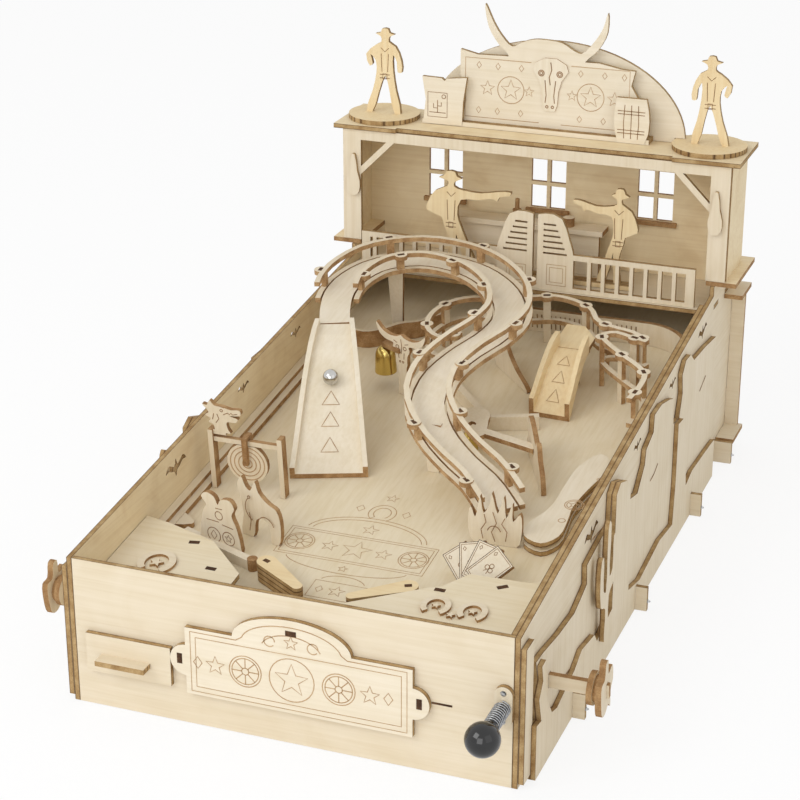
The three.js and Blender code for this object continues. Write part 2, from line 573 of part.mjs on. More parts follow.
// Front fittings.

function drawerTray() {
  const x0 = DRAWER_LEFT + PLY;
  const x1 = DRAWER_RIGHT - PLY;
  const z0 = DRAWER_LOW + PLY;
  const outside = block([x0, FIT, z0], [x1, DRAWER_DEPTH, z0 + TRAY_HEIGHT]);
  return outside.subtract(block([x0 + PLY, PLY, z0 + PLY], [x1 - PLY, DRAWER_DEPTH - PLY,
      z0 + TRAY_HEIGHT + PLY]));
}

function drawerFront() {
  const plate = block([DRAWER_LEFT, -PLY, DRAWER_LOW], [DRAWER_RIGHT, 0, DRAWER_HIGH]);
  const middle = (DRAWER_LOW + DRAWER_HIGH) / 2;
  const handle = block([DRAWER_LEFT + PLY * 3, -HANDLE_REACH - PLY, middle - PLY],
    [DRAWER_RIGHT - PLY * 4, BITE - PLY, middle]);
  return plate.add(handle).translate([0, -FIT, 0]);
}

/** The sign plate: side lobes, stepped corners and an arch over the middle. */
function signPlate() {
  const middle = (SIGN_LEFT + SIGN_RIGHT) / 2 - PLY;
  const high = SIGN_HIGH;
  const lobe = (x, from, to) => arc(x, (SIGN_LOW + SIGN_HIGH) / 2, PLY * 3, MESA_FOOT / 2, from, to,
      ARC_STEPS / 2);
  const outline = [[SIGN_LEFT + PLY * 2, SIGN_LOW], [SIGN_RIGHT - PLY * 2, SIGN_LOW],
    ...lobe(SIGN_RIGHT - PLY * 2, -90, 90), [SIGN_RIGHT - PLY * 2, high],
    ...arc(middle, high, SIGN_ARCH * 2.2, SIGN_ARCH, 0, 180), [SIGN_LEFT + PLY * 2, high],
    ...lobe(SIGN_LEFT + PLY * 2, 90, 270)];
  return facing(sheet(outline)).translate([0, -PLY - FIT, 0]);
}

// Plunger: knob, rod, spring and its bracket, all on one axis along Y.

const alongY = (solid) => solid.rotate([90, 0, 0]).translate([PLUNGER_X, 0, PLUNGER_Z]);

function plungerKnob() {
  const ball = solidOf(new THREE.SphereGeometry(KNOB_RADIUS, 24, 12));
  const seat = post(0, 0, -KNOB_RADIUS * 1.2, 0, SPRING_RADIUS + WIRE_RADIUS);
  const bore = post(0, 0, -KNOB_RADIUS * 2, 0, ROD_RADIUS + FIT);
  return alongY(ball.add(seat).subtract(bore).translate([0, 0, KNOB_REACH]));
}

/** The rod through the panel, with an upright striker at its inner end. */
function plungerRod() {
  const rod = post(0, 0, -MESA_FOOT, KNOB_REACH - BITE, ROD_RADIUS);
  const striker = block([-PLY, -PLY, -MESA_FOOT - PLY], [PLY, KNOB_RADIUS, -MESA_FOOT + BITE]);
  return alongY(rod.add(striker));
}

/** One unbroken tube: a straight start, the coils, a straight end. */
function plungerSpring() {
  const start = PLY + WIRE_RADIUS + BITE + FIT;
  const end = KNOB_REACH - KNOB_RADIUS * 1.2 - WIRE_RADIUS - FIT;
  const rise = end - start;
  const steps = SPRING_TURNS * 8;
  const points = Array.from({ length: steps + 1 }, (_, i) => {
    const angle = (i / 8) * 2 * Math.PI;
    return new THREE.Vector3(SPRING_RADIUS * Math.cos(angle), SPRING_RADIUS * Math.sin(angle),
        start + (rise * i) / steps);
  });
  const tangent = new THREE.Vector3(0, WIRE_RADIUS * 2, 0);
  points.unshift(points[0].clone().sub(tangent));
  points.push(points[steps + 1].clone().add(tangent));
  const leastGap = rise / SPRING_TURNS - WIRE_RADIUS * 2;
  console.log(`least gap between coils ${leastGap.toFixed(2)} mm`);
  const path = new THREE.CatmullRomCurve3(points, false, 'centripetal');
  const ring = new THREE.Shape(arc(0, 0, WIRE_RADIUS, WIRE_RADIUS, 0, 360, 5).slice(0, -1)
    .map(([x, y]) => new THREE.Vector2(x, y)));
  const tube = new THREE.ExtrudeGeometry(ring, { steps: points.length - 1, bevelEnabled: false,
      extrudePath: path });
  return alongY(solidOf(tube));
}

function plungerBracket() {
  const half = BRACKET_WIDTH / 2;
  const straight = BRACKET_HEIGHT / 2 - half;
  const outline = [...arc(0, straight, half, half, 0, 180, ARC_STEPS / 2),
    ...arc(0, -straight, half, half, 180, 360, ARC_STEPS / 2)];
  const plate = sheet(outline).subtract(post(0, 0, -PLY, PLY * 2, ROD_RADIUS + FIT));
  return alongY(plate.translate([0, 0, FIT]));
}

// Flippers, drawn level on the field.

const toward = (side) => (side > 0 ? 180 + FLIPPER_REST_DEGREES : -FLIPPER_REST_DEGREES);

/** A teardrop blade above the field, its shaft, and the crank below. */
function flipper(side) {
  const tip = FLIPPER_RADIUS * 0.55;
  const outline = [...arc(0, 0, FLIPPER_RADIUS, FLIPPER_RADIUS, 80, 280, ARC_STEPS / 2),
    ...arc(FLIPPER_LENGTH - tip, 0, tip, tip, -80, 80, ARC_STEPS / 3)];
  const blade = sheet(outline, FLIPPER_HEIGHT).translate([0, 0, BITE * 2]);
  const shaft = post(0, 0, -PUSH_DROP + BITE, PLY, SHAFT_RADIUS);
  const whole = joined(blade, shaft).rotate([0, 0, toward(side)]).add(crank());
  return onField(whole.translate([side * FLIPPER_X, FLIPPER_Y, 0]));
}

/** The crank under the field: a hub on the shaft, an arm and an upright pin. */
function crank() {
  const low = -PUSH_DROP + BITE;
  const hub = post(0, 0, low, low + PLY, SHAFT_RADIUS * 2.2);
  const arm = block([-SHAFT_RADIUS, -CRANK_REACH, low], [SHAFT_RADIUS, 0, low + PLY]);
  const pin = post(0, -CRANK_REACH, low, -PLY - BITE, PIN_RADIUS).add(post(0, -CRANK_REACH, low,
      low + PLY, SHAFT_RADIUS * 1.4));
  return joined(hub, arm, pin);
}

/** The pusher: an upright bar through the wall, its inner end slotted for the pin. */
function pushRod(side) {
  const high = -PUSH_DROP + PUSH_HEIGHT;
  const inner = FLIPPER_X - SHAFT_RADIUS * 3;
  const bar = block([inner, PUSH_Y - PLY / 2, -PUSH_DROP], [PUSH_REACH, PUSH_Y + PLY / 2, high]);
  const pinY = FLIPPER_Y - CRANK_REACH;
  const fork = block([inner, PUSH_Y, high - PLY], [FLIPPER_X + SHAFT_RADIUS * 3, pinY + PLY * 2, high]);
  const slack = PIN_RADIUS + BITE;
  const slot = block([FLIPPER_X - slack, pinY - slack, -PUSH_DROP], [FLIPPER_X + slack,
      pinY + PLY + slack, 0]);
  const solid = bar.add(fork).subtract(slot);
  return onField(side > 0 ? solid : solid.mirror([1, 0, 0]));
}

/** Stacked discs and a shaped finger plate on a pusher's outer end. */
function pushKnob(side) {
  const middle = -PUSH_DROP + PUSH_HEIGHT / 2;
  const disc = (x, radius) => post(0, 0, 0, PLY, radius).rotate([0, 90, 0]).translate([x, PUSH_Y, middle]);
  const first = PUSH_REACH - PLY * 3.4;
  const outline = rounded(scaled(FINGER_SHARES, PUSH_KNOB_WIDTH, PUSH_KNOB_HEIGHT));
  const finger = sideways(sheet(outline, PLY + BITE)).translate([first + PLY * 1.8,
      PUSH_Y - PUSH_KNOB_WIDTH / 2,
    middle - PUSH_KNOB_HEIGHT * 0.45]);
  const stack = joined(disc(first, DISC_RADIUS), disc(first + PLY - BITE, DISC_RADIUS * 0.8), finger);
  const bore = block([0, PUSH_Y - PLY / 2 - FIT, -PUSH_DROP - FIT],
    [PUSH_REACH + FIT, PUSH_Y + PLY / 2 + FIT, -PUSH_DROP + PUSH_HEIGHT + FIT]);
  const solid = stack.subtract(bore);
  return onField(side > 0 ? solid : solid.mirror([1, 0, 0]));
}

// Ramps and loop, in field coordinates.

const between = (a, b, t) => a + (b - a) * t;

/** Height of a ramp's deck at a share of its length, levelling out towards its head. */
const rampRise = (t, height) => between(PLY + FIT, height, Math.sin(t * (Math.PI / 2)) ** 1.15);

/** A funnel-shaped ramp: a deck with an upright cheek along each side. */
function funnelRamp(foot, head, height, wide, narrow, cheek) {
  const path = Array.from({ length: 9 }, (_, i) => [between(foot[0], head[0], i / 8),
    between(foot[1], head[1], i / 8), rampRise(i / 8, height)]);
  const half = (t) => between(wide, narrow, t) / 2;
  const deck = strip(path, (t) => [-half(t), half(t), -PLY, 0]);
  const left = strip(path, (t) => [half(t) - BITE, half(t) + PLY - BITE, -PLY, cheek]);
  const right = strip(path, (t) => [-half(t) - PLY + BITE, -half(t) + BITE, -PLY, cheek]);
  return joined(deck, left, right);
}

/** The loop's centre line: off the ramp, around the ring, then down an S to the right. */
function loopPath() {
  const [hx, hy] = RAMP_HEAD;
  const start = [hx - BITE * 2, hy + BITE * 4, LOOP_HEIGHT];
  return smoothPath([start, ...onPlan(LOOP_STATIONS, LOOP_HEIGHT), ...onPlan(DROP_STATIONS)], LOOP_STEPS);
}

/** The loop deck with its three columns standing on the field. */
function loopDeck() {
  const path = loopPath();
  const deck = strip(path, () => [-DECK_WIDTH / 2, DECK_WIDTH / 2, -PLY, 0]);
  const columns = COLUMN_STEPS.map((index) => {
    const [x, y, z] = path[index];
    const taper = [[-COLUMN_WIDTH / 2, 0], [COLUMN_WIDTH / 2, 0], [COLUMN_WIDTH * 0.8, z - FIT - BITE],
      [-COLUMN_WIDTH * 0.8, z - FIT - BITE]];
    return facing(sheet(taper)).translate([x, y - PLY / 2, FIT]);
  });
  return onField(joined(deck, ...columns));
}

/** A two-tier rail on one side of a path, with flat posts and round lugs at even steps. */
function tierRail(path, offset, low, high, every, legged = false) {
  const tier = (lift) => strip(path, () => [offset - RAIL_WIDTH / 2, offset + RAIL_WIDTH / 2, lift,
      lift + PLY]);
  const solids = [tier(low), tier(high)];
  const out = Math.sign(offset) * (LUG_RADIUS - RAIL_WIDTH / 2 - FIT);
  for (let i = 2; i < path.length - 1; i += every) {
    const [ax, ay] = path[i - 1];
    const [bx, by] = path[i + 1];
    const run = Math.hypot(bx - ax, by - ay);
    const [ux, uy] = [(bx - ax) / run, (by - ay) / run];
    const [x, y, z] = path[i];
    const [px, py] = [x - uy * offset, y + ux * offset];
    const ends = [-POST_HALF, POST_HALF].map((reach) => [px + ux * reach, py + uy * reach, z]);
    const from = legged ? FIT - z : low + BITE;
    solids.push(strip(ends, () => [-RAIL_WIDTH / 2 + FIT, RAIL_WIDTH / 2 - FIT, from, high + PLY - FIT]));
    solids.push(post(px - uy * out, py + ux * out, z + high, z + high + PLY, LUG_RADIUS, LUG_STEPS));
  }
  return joined(...solids);
}

function loopRail(side) {
  const offset = side * (DECK_WIDTH / 2 + RAIL_WIDTH * 0.8 + FIT);
  return onField(tierRail(loopPath().slice(COLUMN_STEPS[0] / 3), offset, -PLY, RAIL_LIFT, LUG_EVERY));
}

/** The short ramp with tall cheeks and the flat landing behind it. */
function smallRamp() {
  const ramp = funnelRamp(SMALL_FOOT, SMALL_HEAD, SMALL_HEIGHT, SMALL_WIDTH, SMALL_WIDTH * 0.8,
      SMALL_CHEEK);
  const [hx, hy] = SMALL_HEAD;
  const [lx, ly] = [across(LANDING[0]), along(LANDING[1])];
  const half = SMALL_WIDTH / 2;
  const landing = sheet([[lx, hy - PLY], [hx + half, hy - PLY], [hx + half, (hy + ly) / 2], [hx, ly],
      [lx, ly]])
    .translate([0, 0, SMALL_HEIGHT - PLY]);
  const leg = block([hx - PLY, hy + PLY, FIT], [hx + PLY, hy + PLY * 2, SMALL_HEIGHT - BITE]);
  return onField(joined(ramp, landing, leg));
}

/** Curved two-tier guides: one behind the short ramp, one hooked back and down its right. */
function guideRails() {
  const rail = (stations, steps) => tierRail(smoothPath(onPlan(stations, GUIDE_TIER), steps), 0, 0,
    GUIDE_HEIGHT - GUIDE_TIER, LUG_EVERY, true);
  return onField(rail(GUIDE_STATIONS, ARC_STEPS * 0.75).add(rail(HOOK_STATIONS, ARC_STEPS)));
}

/** The open two-tier ring inside the big loop. */
function ringGuide() {
  const path = smoothPath(onPlan(RING_STATIONS, GUIDE_TIER), ARC_STEPS * 0.75);
  return onField(tierRail(path, 0, 0, GUIDE_HEIGHT - GUIDE_TIER - PLY, LUG_EVERY, true));
}

/** The kerf-bent fence along the back, its slots at an even pitch. */
function kerfFence() {
  const corner = MESA_FOOT * 1.8;
  const right = INNER_HALF - PLY * 2;
  const back = TOWER_START - PLY;
  const path = [[0, back, FIT], [right - corner, back, FIT],
    ...arc(right - corner, back - corner, corner, corner, 88, 2, CURVE_STEPS * 4).map(([x, y]) => [x, y,
        FIT]),
    [right, back - corner - PLY * 3, FIT]];
  const fence = strip(path, () => [-PLY / 2, PLY / 2, 0, FENCE_HEIGHT]);
  const count = Math.floor((right - corner - PLY * 3) / FENCE_PITCH);
  const slots = Array.from({ length: count }, (_, i) => {
    const x = PLY * 2 + i * FENCE_PITCH;
    return block([x, back - PLY, PLY], [x + BITE * 2, back - PLY / 4, FENCE_HEIGHT - PLY]);
  });
  return onField(cut(fence, slots));
}

// Furniture on the field.

/** A raised corner plate on its legs, in front of a flipper. */
function apron(side) {
  const front = PLY * 2;
  const edge = onPlan(side < 0 ? APRON_LEFT : APRON_RIGHT).map(([x, y]) => [x, y]);
  const outline = [...edge, [edge[edge.length - 1][0], front], [edge[0][0], front]];
  const plate = sheet(outline).translate([0, 0, APRON_HEIGHT - PLY]);
  const legs = [0.42, 0.78].map((share) => {
    const x = side * INNER_HALF * share;
    return block([x - MESA_FOOT / 3, PUSH_Y - PLY * 2, FIT], [x + MESA_FOOT / 3, PUSH_Y - PLY,
        APRON_HEIGHT - PLY + BITE]);
  });
  return onField(joined(plate, ...legs));
}

/** The stacked lane rail that follows the left wall, waving off to the right at its far end. */
function laneRail() {
  const x = -INNER_HALF + FIT;
  const start = FLIPPER_Y + PLY * 9;
  const low = block([x, start, FIT], [x + PLY * 3, RAILING_Y * 0.9, LANE_RAIL_HEIGHT / 2 + BITE]);
  const high = block([x, start, LANE_RAIL_HEIGHT / 2], [x + PLY * 1.6, RAILING_Y * 0.9, LANE_RAIL_HEIGHT]);
  const hook = sheet(rounded([[x + PLY, start + PLY * 2], [x + MESA_FOOT, start + PLY * 3],
    [x + MESA_FOOT, start + PLY * 4], [x + PLY, start + PLY * 7]]), LANE_RAIL_HEIGHT / 2).translate([0,
    0, FIT]);
  const wave = strip(smoothPath(onPlan(WAVE_STATIONS, FIT), ARC_STEPS * 0.75),
    () => [-PLY / 2, PLY / 2, 0, LANE_RAIL_HEIGHT * 2]);
  return onField(joined(low, high, hook, wave));
}

/** Two posts and a cross bar, with a wolf's head on the left post. */
function targetFrame() {
  const leg = (x) => block([x - PLY / 2, TARGET_Y - PLY, FIT], [x + PLY / 2, TARGET_Y + PLY, TARGET_FRAME]);
  const high = TARGET_FRAME - PLY * 1.6;
  const bar = block([TARGET_LEFT, TARGET_Y - PLY / 2, high - PLY], [TARGET_RIGHT, TARGET_Y + PLY / 2,
      high]);
  const head = standing(WOLF_SHARES, WOLF_WIDTH, WOLF_WIDTH * 0.84,
      TARGET_LEFT - PLY * 1.4 + WOLF_WIDTH / 2,
    TARGET_Y - PLY / 2, TARGET_FRAME - PLY / 2);
  const neck = block([TARGET_LEFT, TARGET_Y - PLY / 2, TARGET_FRAME - PLY],
    [TARGET_LEFT + WOLF_WIDTH * 0.4, TARGET_Y + PLY / 2, TARGET_FRAME]);
  return onField(joined(leg(TARGET_LEFT), leg(TARGET_RIGHT), bar, neck, head));
}

/** The round target on its hanger, looped over the cross bar. */
function targetDisc() {
  const middle = (TARGET_LEFT + TARGET_RIGHT) / 2;
  const barMiddle = TARGET_FRAME - PLY * 2.1;
  const centre = barMiddle - TARGET_RADIUS * 1.05;
  const lies = (solid, x, y, z) => solid.rotate([0, 90, 0]).translate([x, y, z]);
  const disc = post(0, 0, 0, PLY, TARGET_RADIUS).rotate([90, 0, 0])
    .translate([middle, TARGET_Y + PLY / 2, centre]);
  const hanger = block([middle - PLY / 2, TARGET_Y - PLY * 1.5, centre], [middle + PLY / 2,
      TARGET_Y + PLY * 1.5,
    barMiddle + PLY * 1.4]);
  const bore = lies(post(0, 0, -TARGET_RADIUS * 2, TARGET_RADIUS * 2, PLY * 0.8), middle, TARGET_Y,
      barMiddle);
  return onField(disc.add(hanger).subtract(bore));
}

/** Money bags on the slanted in-lane rail. */
function moneyBags() {
  const plate = standing(BAG_SHARES, BAG_WIDTH, BAG_HEIGHT, 0, -PLY / 2).rotate([0, 0, BAG_TURN])
    .translate([BAG_X, BAG_Y, 0]);
  const path = onPlan(BAG_RAIL, FIT);
  const rail = strip(path, () => [-PLY * 0.8, PLY * 0.8, 0, PLY * 2]);
  const [x, y] = path[path.length - 1];
  return onField(joined(plate, rail, post(x, y, FIT, PLY * 2.4, PLY, LUG_STEPS)));
}

function bullPlate() {
  const plate = standing(BULL_SHARES, BULL_WIDTH, BULL_HEIGHT, 0, 0);
  return onField(plate.rotate([0, 0, BAG_TURN]).translate([BULL_X, BULL_Y, 0]));
}

/** A horned skull on a forked stand, its arm over the left bell. */
function skullStand() {
  const stand = block([-PLY, 0, FIT], [PLY * 1.3, PLY, SKULL_HEIGHT / 2]);
  const skull = standing(SKULL_SHARES, SKULL_SPAN, SKULL_HEIGHT / 2 + PLY, 0, 0, SKULL_HEIGHT / 2 - PLY);
  const arm = bellArm(BELL_LEFT, SKULL_X, SKULL_Y + PLY / 2);
  return onField(stand.add(skull).rotate([0, 0, SKULL_TURN]).translate([SKULL_X, SKULL_Y, 0]).add(arm));
}

/** A turned bell: a domed crown over a bore, open below; share scales it whole. */
function bell([x, y, low], share = 1) {
  const r = BELL_RADIUS * share;
  const h = BELL_HEIGHT * share;
  const wallShare = 0.86;
  const profile = [[r * wallShare, 0], [r, 0], [r * 0.97, h * 0.4], [r * 0.9, h * 0.66], [r * 0.66,
      h * 0.88],
    [r * 0.3, h * 0.97], [0, h], [0, h * 0.9], [r * 0.55, h * 0.8], [r * 0.78, h * 0.6], [r * wallShare,
    h * 0.3]];
  const lathe = new THREE.LatheGeometry([...profile, profile[0]].map(([a, b]) => new THREE.Vector2(a,
      b)), ARC_STEPS);
  return onField(solidOf(lathe.rotateX(Math.PI / 2)).translate([x, y, low]));
}

/** A level arm from a plate's foot to over a bell's crown. */
function bellArm([bx, by, low], fromX, fromY, share = 1) {
  const over = low + BELL_HEIGHT * share + FIT;
  return strip([[fromX, fromY, over], [bx, by, over]], () => [-PLY, PLY, 0, PLY]);
}

/** The low V rail in front of the loop. */
function vRail() {
  return onField(strip(onPlan(V_STATIONS, FIT), () => [-PLY * 0.8, PLY * 0.8, 0, PLY * 3]));
}

/** A large grip outline standing on the field; its arm carries a level revolver over the right bell. */
function pistolPlate() {
  const grip = standing(GRIP_SHARES, GRIP_WIDTH, GRIP_HEIGHT, 0, 0).rotate([0, 0, GRIP_TURN])
    .translate([GRIP_X, GRIP_Y, 0]);
  const [bx, by, low] = BELL_RIGHT;
  const over = low + BELL_HEIGHT * LOW_BELL_SHARE + FIT;
  const revolver = sheet(rounded(scaled(PISTOL_SHARES, PISTOL_WIDTH, PISTOL_HEIGHT),
      2)).translate([...PISTOL_PLACE, over]);
  return onField(joined(grip, revolver, bellArm([bx, by, low], GRIP_X, GRIP_Y + PLY, LOW_BELL_SHARE)));
}

function flamePlate() {
  return onField(standing(FLAME_SHARES, FLAME_WIDTH, FLAME_HEIGHT, 0, 0).rotate([0, 0, FLAME_TURN])
    .translate([FLAME_X, FLAME_Y, 0]));
}

/** Four fanned cards leaning back on one foot. */
function cardFan() {
  const cards = [-1.5, -0.5, 0.5, 1.5].map((step, i) => block([-CARD_WIDTH / 2, 0, i * FIT],
    [CARD_WIDTH / 2, CARD_HEIGHT, PLY + i * FIT]).rotate([0, 0, -step * CARD_FAN_DEGREES]));
  return onField(joined(...cards).rotate([CARD_LEAN, 0, 0]).translate([CARD_X, CARD_Y, PLY + BITE]));
}

function knifePlate() {
  return onField(standing(KNIFE_SHARES, KNIFE_WIDTH, KNIFE_HEIGHT, 0, 0).rotate([0, 0, KNIFE_TURN])
    .translate([KNIFE_X, KNIFE_Y, 0]));
}

/** The stacked, waisted lane guide by the right wall. */
function laneGuide() {
  const outline = rounded(scaled(GUITAR_SHARES, GUITAR_LENGTH, GUITAR_WIDTH));
  const centred = (share) => outline.map(([x, y]) => [(x - GUITAR_LENGTH / 2) * share,
      (y - GUITAR_WIDTH / 2) * share]);
  const stack = sheet(centred(1)).translate([0, 0, FIT]).add(sheet(centred(0.82)).translate([0, 0, PLY]))
    .add(sheet(centred(1), PLY).translate([0, 0, PLY * 2 - FIT]));
  return onField(stack.rotate([0, 0, GUITAR_TURN]).translate([GUITAR_X, GUITAR_Y, 0]));
}

/** The ball at rest on the straight ramp's deck. */
function ball() {
  const step = 1 / 8;
  const from = Math.floor(BALL_SHARE / step) * step;
  const [fx, fy] = RAMP_FOOT;
  const [hx, hy] = RAMP_HEAD;
  const run = Math.hypot(hx - fx, hy - fy);
  const low = rampRise(from, LOOP_HEIGHT);
  const high = rampRise(from + step, LOOP_HEIGHT);
  const lean = Math.atan2(high - low, run * step);
  const lift = BALL_RADIUS + FIT;
  const reach = BALL_SHARE * run - lift * Math.sin(lean);
  const up = between(low, high, (BALL_SHARE - from) / step) + lift * Math.cos(lean);
  const sphere = solidOf(new THREE.SphereGeometry(BALL_RADIUS, 16, 12));
  return onField(sphere.translate([between(fx, hx, reach / run), between(fy, hy, reach / run), up]));
}

// Saloon.

function saloonFloor() {
  const plate = block([-INNER_HALF + FIT, FLOOR_FRONT, FLOOR_TOP - PLY], [INNER_HALF - FIT,
      BOX_LENGTH - PLY - FIT, FLOOR_TOP]);
  const tabs = [FLOOR_FRONT + POST_WIDTH, TOWER_BACK - POST_WIDTH].map((y) => block(
    [-BOX_WIDTH / 2, y, FLOOR_TOP - PLY], [BOX_WIDTH / 2, y + POST_WIDTH, FLOOR_TOP]));
  return joined(plate, ...tabs);
}

/** A ledge on a wall's seat, with the saloon's side wall standing on it. */
function saloonSide() {
  const ledge = block([INNER_HALF - PLY, POST_Y - PLY, LEDGE_TOP - PLY], [LEDGE_OUT, BOX_LENGTH - PLY,
      LEDGE_TOP]);
  const side = block([SIDE_OUT - PLY, POST_Y + FIT, LEDGE_TOP - BITE], [SIDE_OUT, TOWER_BACK + PLY,
      ROOF_TOP - PLY - FIT]);
  return ledge.add(side);
}

/** The saloon's shell: rear wall with three four-pane windows, sills, sides and ledges. */
function saloonShell() {
  const half = SIDE_OUT - BITE;
  const high = ROOF_TOP - PLY - FIT;
  const upper = block([-half, TOWER_BACK, LEDGE_TOP - BITE], [half, TOWER_BACK + PLY, high]);
  const lower = block([-INNER_HALF + PLY + FIT, TOWER_BACK, FLOOR_TOP + FIT],
      [INNER_HALF - PLY * 2 - FIT, TOWER_BACK + PLY,
    LEDGE_TOP + PLY]);
  const middle = (WINDOW_LOW + WINDOW_HIGH) / 2;
  const bar = PLY / 2.4;
  const panes = [];
  const sills = [];
  for (const x of WINDOW_PLACES) {
    for (const [x0, x1] of [[x - WINDOW_WIDTH / 2, x - bar], [x + bar, x + WINDOW_WIDTH / 2]]) {
      for (const [z0, z1] of [[WINDOW_LOW, middle - bar], [middle + bar, WINDOW_HIGH]]) {
        panes.push(block([x0, TOWER_BACK - PLY, z0], [x1, TOWER_BACK + PLY * 2, z1]));
      }
    }
    sills.push(block([x - WINDOW_WIDTH / 2 - PLY, TOWER_BACK - PLY, WINDOW_LOW - PLY - BITE],
      [x + WINDOW_WIDTH / 2 + PLY, TOWER_BACK + BITE, WINDOW_LOW - BITE]));
  }
  return joined(cut(joined(upper, lower), panes), ...sills, saloonSide(), saloonSide().mirror([1, 0, 0]));
}

/** Posts with a lantern outline on each, beam and curved corner braces across the saloon's front. */
function saloonFrame() {
  const low = LEDGE_TOP + FIT;
  const high = ROOF_TOP - PLY - FIT;
  const outer = SIDE_OUT - BITE;
  const upright = (x) => block([x, 0, low], [x + POST_WIDTH, PLY, high]);
  const beam = block([-outer, 0, high - BEAM_HEIGHT], [outer, PLY, high]);
  const brace = (side) => {
    const x = side * (outer - POST_WIDTH);
    const z = high - BEAM_HEIGHT;
    const arm = [[x - side * BRACE_SPAN, z + BITE], [x - side * (BRACE_SPAN - PLY * 1.8), z + BITE],
      [x + side * BITE, z - BRACE_SPAN + PLY * 1.8], [x + side * BITE, z - BRACE_SPAN]];
    return facing(sheet(arm));
  };
  const lantern = facing(sheet(rounded(scaled(LANTERN_SHARES, LANTERN_WIDTH, LANTERN_HEIGHT), 2)))
    .translate([outer - POST_WIDTH, BITE - PLY, LANTERN_LOW]);
  return joined(upright(-outer), upright(outer - POST_WIDTH), beam, brace(-1), brace(1), lantern,
    lantern.mirror([1, 0, 0])).translate([0, POST_Y - PLY, 0]);
}

/** One swing-door leaf: highest near the middle, falling away outward, with six slats. */
function doorLeaf(inner, outer) {
  const low = FLOOR_TOP + FIT;
  const leaf = sheet(DOOR_SHARES.map(([u, v]) => [between(inner, outer, u), between(low, DOOR_TOP, v)]));
  const slats = Array.from({ length: SLATS }, (_, i) => {
    const z = DOOR_TOP - SLAT_PITCH * (i + 2);
    const ends = [between(inner, outer, 0.16), between(inner, outer, between(0.5, 0.88, i / SLATS))];
    return block([Math.min(...ends), z, -PLY], [Math.max(...ends), z + SLAT_PITCH / 3, PLY * 2]);
  });
  return facing(cut(leaf, slats));
}

/** Railings with balusters and the pair of swing doors between them, one cut plate. */
function railing() {
  const low = FLOOR_TOP + FIT;
  const middle = (DOOR_LEFT + DOOR_RIGHT) / 2;
  const bands = [block([-RAILING_HALF, 0, low], [RAILING_HALF, PLY, low + PLY])];
  for (const [door, side] of [[DOOR_LEFT, -1], [DOOR_RIGHT, 1]]) {
    const span = (from, to, z0, z1) => bands.push(block([Math.min(from, to), 0, z0], [Math.max(from, to),
        PLY, z1]));
    const end = side * RAILING_HALF;
    span(door - side * PLY, end, RAILING_TOP - PLY * 1.2, RAILING_TOP);
    span(end - side * PLY * 2, end, low, RAILING_TOP);
    for (let x = door + side * BALUSTER_PITCH; Math.abs(x) < RAILING_HALF - PLY * 2; x += side * BALUSTER_PITCH) {
      span(x, x + side * BALUSTER_WIDTH, low, RAILING_TOP);
    }
  }
  const doors = [doorLeaf(middle - DOOR_GAP / 2, DOOR_LEFT), doorLeaf(middle + DOOR_GAP / 2, DOOR_RIGHT)];
  return joined(...bands, ...doors).translate([0, RAILING_Y, 0]);
}

/** The bar counter with a bottle and a lamp on its top. */
function barCounter() {
  const low = FLOOR_TOP + FIT;
  const high = low + BRACKET_HEIGHT + PLY * 2;
  const front = block([BAR_LEFT + PLY, BAR_Y, low], [BAR_RIGHT - PLY, BAR_Y + PLY, high]);
  const top = block([BAR_LEFT, BAR_Y - PLY, high - BITE], [BAR_RIGHT, BAR_Y + PLY * 4, high + PLY]);
  const bottle = post(-MESA_FOOT, BAR_Y + PLY, high, high + MESA_FOOT * 0.6, PLY, LUG_STEPS)
    .add(post(-MESA_FOOT, BAR_Y + PLY, high, high + MESA_FOOT, PLY / 2, LUG_STEPS));
  const lamp = post(MESA_FOOT, BAR_Y + PLY, high, high + PLY * 3, PLY * 1.3, LUG_STEPS);
  return joined(front, top, bottle, lamp);
}

/** A gun-slinger outline on the saloon floor; side -1 faces the other way. */
function gunman(x, side, width) {
  const plate = facing(sheet(rounded(scaled(GUNMAN_SHARES, width, FIGURE_HEIGHT), 2)))
    .trimByPlane([0, 0, 1], 0).translate([-width / 2, 0, 0]);
  return (side > 0 ? plate : plate.mirror([1, 0, 0])).translate([x, 0, FIT]);
}

/** The two figures on the strip they are slotted into. */
function gunmen() {
  const left = gunman(GUNMAN_LEFT, 1, GUNMAN_WIDTH);
  const right = gunman(GUNMAN_RIGHT, -1, GUNMAN_WIDTH * FAR_GUNMAN_SHARE);
  const foot = block([GUNMAN_LEFT - MESA_FOOT, -PLY, 0], [GUNMAN_RIGHT + MESA_FOOT, PLY * 2, PLY]);
  return joined(left, right, foot).translate([0, FIGURE_Y, FLOOR_TOP + FIT * 2]);
}

function roofBoard() {
  const low = ROOF_TOP - PLY;
  const main = block([-ROOF_HALF, ROOF_FRONT + PLY, low], [ROOF_HALF, ROOF_BACK, ROOF_TOP]);
  const corners = [-1, 1].map((side) => {
    const [x0, x1] = side < 0 ? [-ROOF_HALF, -ROOF_HALF * 0.68] : [ROOF_HALF * 0.68, ROOF_HALF];
    return block([x0, ROOF_FRONT, low], [x1, ROOF_FRONT + PLY * 2, ROOF_TOP]);
  });
  return joined(main, ...corners);
}

